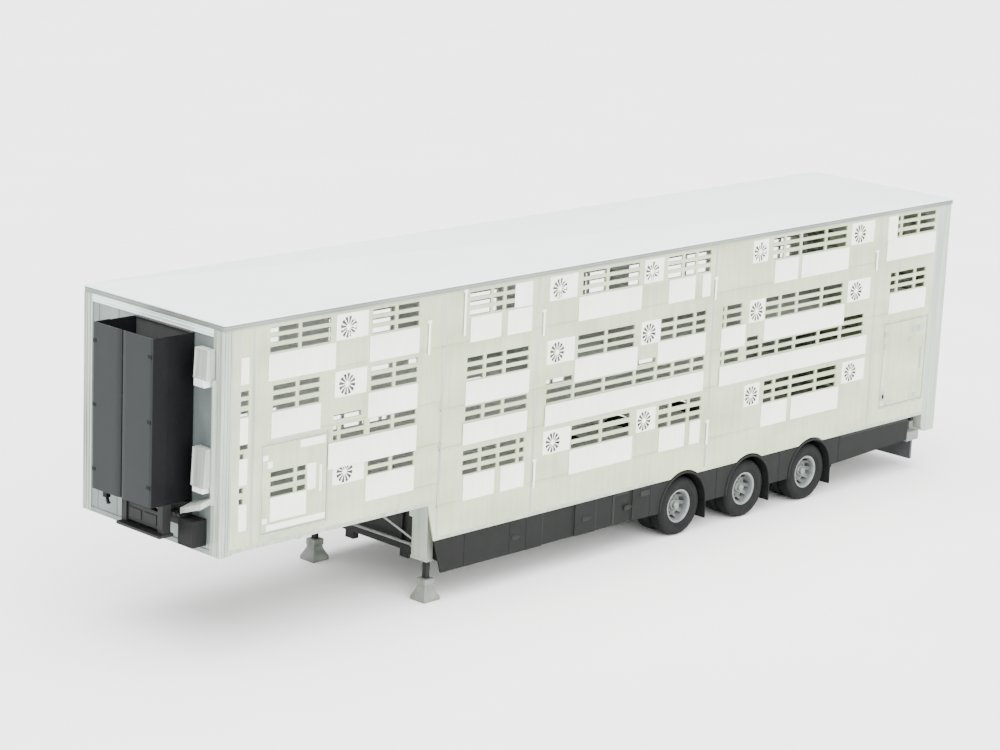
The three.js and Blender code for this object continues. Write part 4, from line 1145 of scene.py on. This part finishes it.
bm = bmesh.new()
for sign in SIDES.values():
    ys = mirrored(sign, *HOUSING_Y)
    shell = bar(bm, (LEG_X - 0.055, LEG_X + 0.055), ys, HOUSING)
    bore = [f for f in {f for v in shell for f in v.link_faces} if f.normal.z < -0.9]
    bmesh.ops.inset_region(bm, faces=bore, thickness=HOUSING_WALL)
    bmesh.ops.translate(bm, verts=list({v for f in bore for v in f.verts}),
                        vec=UP * BORE_DEPTH)
    for x_shift in (-0.055, 0.055):
        bar(bm, (LEG_X + x_shift - 0.006, LEG_X + x_shift + 0.006),
            mirrored(sign, HOUSING_Y[0] - 0.05, HOUSING_Y[0] + 0.06), (1.02, 1.294))
    bar(bm, (LEG_X - 0.075, LEG_X + 0.075), mirrored(sign, HOUSING_Y[0] - 0.06, 1.08),
        (1.262, 1.297))
    bar(bm, (LEG_X - 0.062, LEG_X + 0.062), mirrored(sign, HOUSING_Y[0] - 0.006, 1.077),
        (HOUSING[0] - 0.001, HOUSING[0] + 0.03))
piece("leg_housings", bm, PRESSED_ALUMINIUM, "trailer",
      ["landing_gear_frame"], bevel=0.010, segments=3)

bm = bmesh.new()
inner = HOUSING_Y[0] + 0.005
tube(bm, (LEG_X, -inner, SHAFT_HEIGHT), (LEG_X, inner, SHAFT_HEIGHT), 0.019, 16)
for sign in SIDES.values():
    tube(bm, (LEG_X, sign * inner, 0.70), (at(2.99), sign * 0.54, 1.19), 0.014, 16)
    tube(bm, (LEG_X, sign * inner, SHAFT_HEIGHT), (LEG_X, sign * 0.75, SHAFT_HEIGHT), 0.034, 20)
piece("leg_shaft_and_braces", bm, GALVANISED, "trailer", bevel=0.002)

# %% [markdown]
# A foot is a casting: wide at the ground, narrow at the waist and square again on
# top. It starts as a flat square that is extruded upwards in rings, and every ring
# is scaled to its own size. A black tube carries it.

# %% Inner tubes and feet


def flared(bm, rings, x, y):
    """A square casting: each ring is its height and its half lengths in X and Y."""
    low = rings[0]
    grid = Matrix.Translation((x, y, low[0])) @ Matrix.Diagonal((low[1], low[2], 1, 1))
    made = bmesh.ops.create_grid(bm, x_segments=1, y_segments=1, size=1, matrix=grid)["verts"]
    face = list({f for v in made for f in v.link_faces})
    middle = Matrix.Translation((-x, -y, 0))
    before = low
    for ring in rings[1:]:
        grown = bmesh.ops.extrude_face_region(bm, geom=face)["geom"]
        if before is not low:
            bmesh.ops.delete(bm, geom=face, context="FACES_ONLY")
        face = [g for g in grown if isinstance(g, bmesh.types.BMFace)]
        rim = [g for g in grown if isinstance(g, bmesh.types.BMVert)]
        bmesh.ops.scale(bm, verts=rim, vec=(ring[1] / before[1], ring[2] / before[2], 1),
                        space=middle)
        bmesh.ops.translate(bm, verts=rim, vec=UP * (ring[0] - before[0]))
        before = ring


FOOT_RINGS = [(0.0, 0.134, 0.124), (0.006, 0.137, 0.127), (0.046, 0.136, 0.126),
              (0.105, 0.102, 0.096), (0.155, 0.080, 0.075), (0.19, 0.074, 0.070),
              (0.208, 0.084, 0.079), (0.27, 0.082, 0.077), (0.28, 0.076, 0.071)]
TUBE_HALF = 0.034
TUBE_HEIGHTS = (0.265, 0.99)
PIN_HEIGHT = 0.238
for side, sign in SIDES.items():
    y = sign * LEG_Y
    bm = bmesh.new()
    bar(bm, (LEG_X - TUBE_HALF, LEG_X + TUBE_HALF), (y - TUBE_HALF, y + TUBE_HALF),
        TUBE_HEIGHTS)
    piece(f"{side}_leg_tube", bm, BLACK_PAINT, f"{side}_leg", bevel=0.005)
    bm = bmesh.new()
    flared(bm, FOOT_RINGS, LEG_X, y)
    tidy_shape(bm)
    tube(bm, (LEG_X - 0.092, y, PIN_HEIGHT), (LEG_X + 0.092, y, PIN_HEIGHT), 0.016, 16)
    piece(f"{side}_leg_foot", bm, FOOT_STEEL, f"{side}_leg",
          [f"{side}_leg"], bevel=0.004)

# %% [markdown]
# ## Skirts
# Dark moulded panels close the sides below the body. The outline is sawn from a
# sheet: the sloping front edge, the arches, and the rear part whose foot rises. The
# fine upright grooves are real gaps of a few millimetres, and a strip behind each
# of them keeps the light out, so that the panels look separate.

# %% Skirt panels
SKIRT_TOP = BODY_FOOT - 0.004
SKIRT_FOOT = 0.395
SKIRT_FRONT = (3.422, 3.555)
SKIRT_REAR = (11.28, 13.04)
SKIRT_REAR_FOOT = (0.43, 0.50)
SKIRT_FACE = WALL_FACE - 0.002
SKIRT_SEAMS = [3.95, 4.75, 5.05, 5.35, 5.95, 6.35, 6.70, 7.05, 7.40, 8.75, 10.09, 11.42]
SKIRT_GAP = 0.006
SKIRT_THICK = 0.018
ARCH_OPEN = 0.449
OPEN_TURNS = range(-9, 190, 9)
LATCHES = [(4.85, 0.60), (6.15, 0.60), (6.95, 0.60)]


def skirt_sheet():
    """The outline of a skirt, as a flat sheet in X and Z."""
    gaps = [((s - SKIRT_GAP / 2, s + SKIRT_GAP / 2), (0.0, 2.0)) for s in SKIRT_SEAMS]
    bm = sheet_with_openings((SKIRT_FRONT[0], SKIRT_REAR[1]), (SKIRT_FOOT, SKIRT_TOP), gaps)
    heel = Vector((at(SKIRT_FRONT[0]), 0, SKIRT_TOP))
    toe = Vector((at(SKIRT_FRONT[1]), 0, SKIRT_FOOT))
    ahead = Vector((heel.z - toe.z, 0, toe.x - heel.x)).normalized()
    slope = (SKIRT_REAR_FOOT[1] - SKIRT_REAR_FOOT[0]) / (SKIRT_REAR[1] - SKIRT_REAR[0])
    rear_x = at(SKIRT_REAR[0])
    rear_point = Vector((rear_x, 0, SKIRT_REAR_FOOT[0]))
    below = Vector((-slope, 0, -1)).normalized()
    saw(bm, [f for f in bm.faces if f.calc_center_median().x > at(4.2)], heel, ahead)
    saw(bm, bm.faces[:], (rear_x, 0, 0), (1, 0, 0))
    saw(bm, [f for f in bm.faces if f.calc_center_median().x < rear_x], rear_point, below)
    gone = [f for f in bm.faces if (f.calc_center_median() - heel).dot(ahead) > 0
            or (f.calc_center_median().x < rear_x
                and (f.calc_center_median() - rear_point).dot(below) > 0)]
    bmesh.ops.delete(bm, geom=gone, context="FACES")
    for axle_x in AXLE_X:
        notch_arch(bm, axle_x, ARCH_OPEN, OPEN_TURNS)
    return bm


def skirt(side, sign):
    """The skirt of one side, and the strips, latches and plates that go on it."""
    bm = skirt_sheet()
    thicken(bm, SKIRT_THICK, SKIRT_FACE, sign)
    piece(f"{side}_skirt_panels", bm, GREY_MOULDING, "trailer",
          [f"{side}_skirt"], bevel=0.002)

    bm = bmesh.new()
    behind = mirrored(sign, WALL_INSIDE - 0.004, SKIRT_FACE - 0.012)
    for s in SKIRT_SEAMS:
        if not any(abs(at(s) - axle_x) < ARCH_OPEN for axle_x in AXLE_X):
            foot = SKIRT_FOOT + 0.01 if s < SKIRT_REAR[0] else 0.45
            run(bm, (s - 0.02, s + 0.02), behind, (foot, SKIRT_TOP - 0.004))
    proud = mirrored(sign, SKIRT_FACE - 0.003, WALL_FACE + 0.006)
    lever = mirrored(sign, WALL_FACE, WALL_FACE + 0.010)
    for s, z in LATCHES:
        run(bm, (s - 0.055, s + 0.055), proud, (z - 0.03, z + 0.03))
        run(bm, (s - 0.02, s + 0.09), lever, (z - 0.01, z + 0.01))
    run(bm, (7.20, 7.385), proud, (0.70, 0.775))
    run(bm, (6.70, 6.97), mirrored(sign, SKIRT_FACE - 0.003, WALL_FACE + 0.003), (0.795, 0.822))
    run(bm, (11.45, 13.0), mirrored(sign, SKIRT_FACE - 0.003, WALL_FACE + 0.0015),
        (SKIRT_TOP - 0.03, SKIRT_TOP - 0.004))
    piece(f"{side}_skirt_latches", bm, BLACK_PAINT, "trailer", bevel=0.003)


for side, sign in SIDES.items():
    skirt(side, sign)

# %% [markdown]
# A mudguard bows over each pair of wheels. Its lipped cross section is drawn once,
# closed with a face and spun through half a turn, which rounds it evenly all the
# way. A flat flap hangs behind it, with a stiffening bar across.

# %% Mudguards with their flaps
GUARD_RADIUS = (0.447, 0.475)
GUARD_Y = (0.69, 1.262)
FLAP_FOOT = 0.165


def mudguard(bm, x, sign):
    """A bow over the wheel, spun from a lipped cross section."""
    inner, outer = GUARD_RADIUS
    section = [(inner, GUARD_Y[0]), (inner, GUARD_Y[1] - 0.012),
               (inner - 0.001, GUARD_Y[1] - 0.004),
               (inner + 0.006, GUARD_Y[1]), (outer - 0.008, GUARD_Y[1]),
               (outer, GUARD_Y[1] - 0.008), (outer, GUARD_Y[1] - 0.05),
               (outer - 0.006, GUARD_Y[1] - 0.06), (outer - 0.006, GUARD_Y[0])]
    _, ring = outline(bm, [(x + r, sign * y, ARCH_CENTRE) for r, y in section], closed=True)
    end_cap = bmesh.ops.contextual_create(bm, geom=ring)["faces"]
    bmesh.ops.spin(bm, geom=end_cap, cent=(x, 0, ARCH_CENTRE), axis=(0, 1, 0),
                   angle=-math.pi, steps=36, use_merge=False)


for side, sign in SIDES.items():
    bm = bmesh.new()
    for axle_x in AXLE_X:
        mudguard(bm, axle_x, sign)
    tidy_shape(bm)
    wide = mirrored(sign, *GUARD_Y)
    narrow = mirrored(sign, GUARD_Y[0] + 0.01, GUARD_Y[1] - 0.01)
    for axle_x in AXLE_X:
        behind = axle_x - (GUARD_RADIUS[0] + GUARD_RADIUS[1]) / 2
        bar(bm, (behind - 0.007, behind + 0.007), wide, (FLAP_FOOT, ARCH_CENTRE + 0.01))
        bar(bm, (behind - 0.012, behind + 0.012), narrow, (0.365, 0.39))
        front = axle_x + (GUARD_RADIUS[0] + GUARD_RADIUS[1]) / 2
        bar(bm, (front - 0.01, front + 0.01), wide, (0.395, ARCH_CENTRE + 0.01))
    piece(f"{side}_mudguards", bm, GREY_MOULDING, "trailer", bevel=0.002)

# %% [markdown]
# ## Wheels
# Tyres, rims and hubs are turned shapes, so each is an outline of a few points that
# `spin` carries once round the axle. The wheels are twins: the rims are deep, and the
# dish that carries the nuts sits far inside the outer one. Its hand holes are faces
# of the spun dish that are deleted before it gets its thickness.

# %% The outlines, and a function that spins them
OUTER_TYRE = 1.095
INNER_TYRE = 0.82
AXLE_HEIGHT = WHEEL_RADIUS
TREAD = [(0.397, 0.066), (0.398, 0.054), (0.3875, 0.0525), (0.3875, 0.0435), (0.398, 0.042),
         (0.398, 0.023), (0.3875, 0.0215), (0.3875, 0.0125), (0.398, 0.011)]
SIDEWALL = [(0.222, 0.070), (0.226, 0.086), (0.236, 0.093), (0.250, 0.097), (0.262, 0.108),
            (0.285, 0.1165), (0.288, 0.1185), (0.296, 0.1185), (0.299, 0.119), (0.325, 0.1225),
            (0.348, 0.119), (0.366, 0.110), (0.381, 0.098), (0.391, 0.082)]
TYRE = SIDEWALL + TREAD
TYRE = TYRE + [(r, -y) for r, y in reversed(TYRE)]
RIM = [(0.197, 0.075), (0.203, 0.083), (0.214, 0.088), (0.229, 0.087), (0.232, 0.083),
       (0.231, 0.078), (0.222, 0.076), (0.215, 0.070), (0.212, 0.03), (0.205, -0.088),
       (0.198, -0.088)]
DISH = [(0.199, 0.050), (0.192, 0.016), (0.186, -0.006), (0.172, -0.032), (0.160, -0.050),
        (0.148, -0.060), (0.134, -0.066), (0.104, -0.068)]
HUB = [(0.0, 0.062), (0.040, 0.061), (0.047, 0.055), (0.050, 0.040), (0.052, 0.012),
       (0.066, 0.008), (0.070, 0.0), (0.073, -0.04), (0.096, -0.048), (0.104, -0.056),
       (0.106, -0.075), (0.0, -0.075)]
DRUM = [(0.0, 0.96), (0.150, 0.96), (0.168, 0.95), (0.172, 0.73), (0.165, 0.70),
        (0.095, 0.695), (0.090, 0.62), (0.0, 0.62)]
NUTS = 10
NUT_CIRCLE = 0.124
NUT_SEAT = 0.068
HOLE_RING = (0.160, 0.189)
HOLE_PITCH = 36
HOLE_TURNS = (9, 27)
DISH_THICK = 0.007


def turned(bm, section, x, middle, sign, steps=64, closed=True):
    """Spins a section round an axle. Its points are radii and distances from middle."""
    verts, line = outline(bm, [(x, sign * (middle + y), AXLE_HEIGHT + r) for r, y in section],
                          closed)
    bmesh.ops.spin(bm, geom=verts + line, cent=(x, 0, AXLE_HEIGHT), axis=(0, 1, 0),
                   angle=2 * math.pi, steps=steps, use_merge=True)


def wheel(side, sign, number, x):
    """A pair of twin wheels: tyres, rims, the dish with its drum, and the hub with its nuts."""
    body = f"{side}_wheel_{number}"
    bm = bmesh.new()
    turned(bm, TYRE, x, OUTER_TYRE, sign, steps=72)
    turned(bm, TYRE, x, INNER_TYRE, sign, steps=72)
    tidy_shape(bm)
    piece(f"{side}_tyres_{number}", bm, RUBBER, body,
          [f"{side}_tyre_{number}"], bevel=0, angle=40)

    bm = bmesh.new()
    turned(bm, RIM, x, OUTER_TYRE, sign)
    turned(bm, [(r, -y) for r, y in RIM], x, INNER_TYRE, sign)
    tidy_shape(bm)
    piece(f"{side}_rims_{number}", bm, RIM_PAINT, body, [body], bevel=0, angle=45)

    bm = bmesh.new()
    turned(bm, DISH, x, OUTER_TYRE, sign, steps=80, closed=False)
    centre = Vector((x, 0, AXLE_HEIGHT))
    holes = []
    for face in bm.faces:
        out = face.calc_center_median() - centre
        reach = math.hypot(out.x, out.z)
        turn = math.degrees(math.atan2(out.z, out.x)) % HOLE_PITCH
        if HOLE_RING[0] < reach < HOLE_RING[1] and HOLE_TURNS[0] < turn < HOLE_TURNS[1]:
            holes.append(face)
    bmesh.ops.delete(bm, geom=holes, context="FACES")
    tidy_shape(bm)
    bmesh.ops.solidify(bm, geom=bm.faces[:], thickness=DISH_THICK)
    bmesh.ops.recalc_face_normals(bm, faces=bm.faces)
    dish_verts = len(bm.verts)
    turned(bm, DRUM, x, 0, sign, steps=48, closed=False)
    bm.verts.ensure_lookup_table()
    bmesh.ops.remove_doubles(bm, verts=bm.verts[dish_verts:], dist=1e-5)
    bmesh.ops.recalc_face_normals(bm, faces=bm.faces)
    piece(f"{side}_dishes_{number}", bm, DARK_STEEL, body, bevel=0.0015,
          angle=45)

    bm = bmesh.new()
    turned(bm, HUB, x, OUTER_TYRE, sign, steps=40, closed=False)
    tidy_shape(bm)
    for index in range(NUTS):
        turn = 2 * math.pi * (index + 0.5) / NUTS
        nut = (x + NUT_CIRCLE * math.cos(turn), AXLE_HEIGHT + NUT_CIRCLE * math.sin(turn))
        seat = sign * (OUTER_TYRE - NUT_SEAT)
        tube(bm, (nut[0], seat, nut[1]), (nut[0], seat + sign * 0.022, nut[1]), 0.0125, 6)
        tube(bm, (nut[0], seat, nut[1]), (nut[0], seat + sign * 0.034, nut[1]), 0.007, 10)
    piece(f"{side}_hubs_{number}", bm, GALVANISED, body, bevel=0.0012,
          angle=40)


for side, sign in SIDES.items():
    for number, x in enumerate(AXLE_X, start=1):
        wheel(side, sign, number, x)

# %% [markdown]
# ## Air springs
# A rubber bellows stands on every piston. On the real trailer it flattens towards the rail
# when its axle rises; here it rides on the trailer, not on the axle, and keeps its shape.

# %% Six bellows
BELLOWS_BEHIND = 0.24
BELLOWS_Y = 0.5
BELLOWS = [(0.0, 0.489), (0.085, 0.489), (0.104, 0.496), (0.111, 0.510), (0.109, 0.524),
           (0.098, 0.533), (0.109, 0.542), (0.111, 0.556), (0.104, 0.570), (0.085, 0.579),
           (0.0, 0.579)]

for number, x in enumerate(AXLE_X, start=1):
    bm = bmesh.new()
    for y in (-BELLOWS_Y, BELLOWS_Y):
        spot = Vector((x - BELLOWS_BEHIND, y, 0))
        verts, line = outline(bm, [spot + Vector((r, 0, z)) for r, z in BELLOWS])
        bmesh.ops.spin(bm, geom=verts + line, cent=spot, axis=(0, 0, 1), angle=2 * math.pi,
                       steps=36, use_merge=True)
    tidy_shape(bm)
    bellows = piece(f"axle_{number}_bellows", bm, RUBBER, "trailer", bevel=0)
    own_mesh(bellows)

# %% [markdown]
# ## The back
# The portal is one frame of wide posts, a head and a sill, with the lower corners
# rounded by a bevel in the mesh, because only those two edges get it. The loading
# ramp closes the portal.

# %% Rear portal
REAR_POST = (1.06, 1.25)
REAR_DEPTH = 0.32
PORTAL_FOOT = 0.56
PORTAL_SILL = 0.82
PORTAL_HEAD = 3.76
PORTAL_CORNER = 0.11
LAMP_HEIGHTS = (0.63, 3.55)

bm = bmesh.new()
for sign in SIDES.values():
    verts = bar(bm, (REAR, REAR + REAR_DEPTH), mirrored(sign, *REAR_POST),
                (PORTAL_FOOT, WALL_TOP))
    lower = {edge for vert in verts for edge in vert.link_edges
             if abs(edge.verts[0].co.y - edge.verts[1].co.y) > 0.1
             and edge.verts[0].co.z < PORTAL_FOOT + 0.01 and edge.verts[0].co.x > REAR + 0.1}
    bmesh.ops.bevel(bm, geom=list(lower), offset=PORTAL_CORNER, segments=8, profile=0.5,
                    affect="EDGES", material=-1)
bar(bm, (REAR, REAR + REAR_DEPTH), (-1.07, 1.07), (PORTAL_HEAD, WALL_TOP - 0.001))
bar(bm, (REAR + 0.002, REAR + REAR_DEPTH - 0.002), (-1.07, 1.07),
    (PORTAL_FOOT + 0.03, PORTAL_SILL - 0.001))
piece("rear_portal", bm, PRESSED_ALUMINIUM, "trailer", ["rear_frame"],
      bevel=0.006, segments=3)

bm = bmesh.new()
for sign in SIDES.values():
    for z in LAMP_HEIGHTS:
        tube(bm, (REAR + 0.001, sign * 1.155, z), (REAR + 0.0125, sign * 1.155, z), 0.055, 32)
piece("rear_lamps", bm, LAMP_RED, "trailer", bevel=0.004)

# %% [markdown]
# The ramp is a panel in a frame. Its outside has upright ribs, and its inside, the
# tread when it is down, has cross bars for the animals' feet. Each is a row of bars,
# so two loops make them.

# %% Loading ramp
RIBS, RIB_FIRST, RIB_PITCH = 7, -0.84, 0.28
CROSS_BARS, CROSS_FIRST, CROSS_PITCH = 14, 1.0, 0.195
RAMP_HINGES_Y = (-0.86, -0.3, 0.3, 0.86)

ramp_low, ramp_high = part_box("rear_ramp")
bm = bmesh.new()
bar(bm, (ramp_high.x - 0.012, ramp_high.x), (ramp_low.y, ramp_high.y),
    (ramp_low.z, ramp_high.z))
for sign in SIDES.values():
    bar(bm, (ramp_low.x, ramp_high.x - 0.002), mirrored(sign, 0.99, 1.048),
        (ramp_low.z + 0.002, ramp_high.z - 0.002))
for z in (ramp_low.z + 0.001, ramp_high.z - 0.061):
    bar(bm, (ramp_low.x + 0.002, ramp_high.x - 0.002), (-1.0, 1.0), (z, z + 0.06))
for index in range(RIBS):
    y = RIB_FIRST + RIB_PITCH * index
    bar(bm, (ramp_low.x + 0.006, ramp_high.x - 0.002), (y - 0.02, y + 0.02),
        (ramp_low.z + 0.04, ramp_high.z - 0.04))
piece("ramp_panel", bm, ALUMINIUM, "rear_ramp", ["rear_ramp"],
      bevel=0.003)
bm = bmesh.new()
for index in range(CROSS_BARS):
    z = CROSS_FIRST + CROSS_PITCH * index
    bar(bm, (ramp_high.x - 0.001, ramp_high.x + 0.016), (-0.98, 0.98), (z, z + 0.022))
piece("ramp_cross_bars", bm, GALVANISED, "rear_ramp", bevel=0.003)
bm = bmesh.new()
for y in RAMP_HINGES_Y:
    tube(bm, (ramp_low.x + 0.022, y - 0.09, ramp_low.z + 0.012),
         (ramp_low.x + 0.022, y + 0.09, ramp_low.z + 0.012), 0.014, 20)
piece("ramp_hinges", bm, GALVANISED, "rear_ramp", bevel=0.002)

# %% [markdown]
# A lamp bar stands out under each rear corner, above the underrun bar. Three bars
# make one: the lamp's case, the arm that carries it and the hanger up to the frame.

# %% Rear lamp bars beside the underrun bar
bm = bmesh.new()
for sign in SIDES.values():
    bar(bm, (at(13.34), at(13.06)), mirrored(sign, 1.02, 1.235), (0.46, 0.60))
    bar(bm, (at(13.10), at(13.00)), mirrored(sign, 1.08, 1.20), (0.50, 0.565))
    bar(bm, (at(13.30), at(13.22)), mirrored(sign, 1.05, 1.15), (0.59, 0.80))
piece("rear_lamp_brackets", bm, GALVANISED, "trailer", bevel=0.006)

# %% [markdown]
# ## Parts carried over as they are
# The chassis, the king pin plate, the floor, the lifting deck, the axles and the
# underrun bar keep their working shapes. They only get their finishes.

# %% Finishes for the carried-over parts
CARRIED = {
    "chassis_frame": BLACK_PAINT, "kingpin_plate": BLACK_PAINT, "floor": TREAD_ALUMINIUM,
    "lifting_deck": TREAD_ALUMINIUM, "underrun_bar": BUMPER_PAINT, "axle_1": BLACK_PAINT,
    "axle_2": BLACK_PAINT, "axle_3": BLACK_PAINT,
}
for name, material in CARRIED.items():
    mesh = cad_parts[name].data
    mesh.materials.clear()
    mesh.materials.append(material)
print(len(CARRIED), "parts carried over")
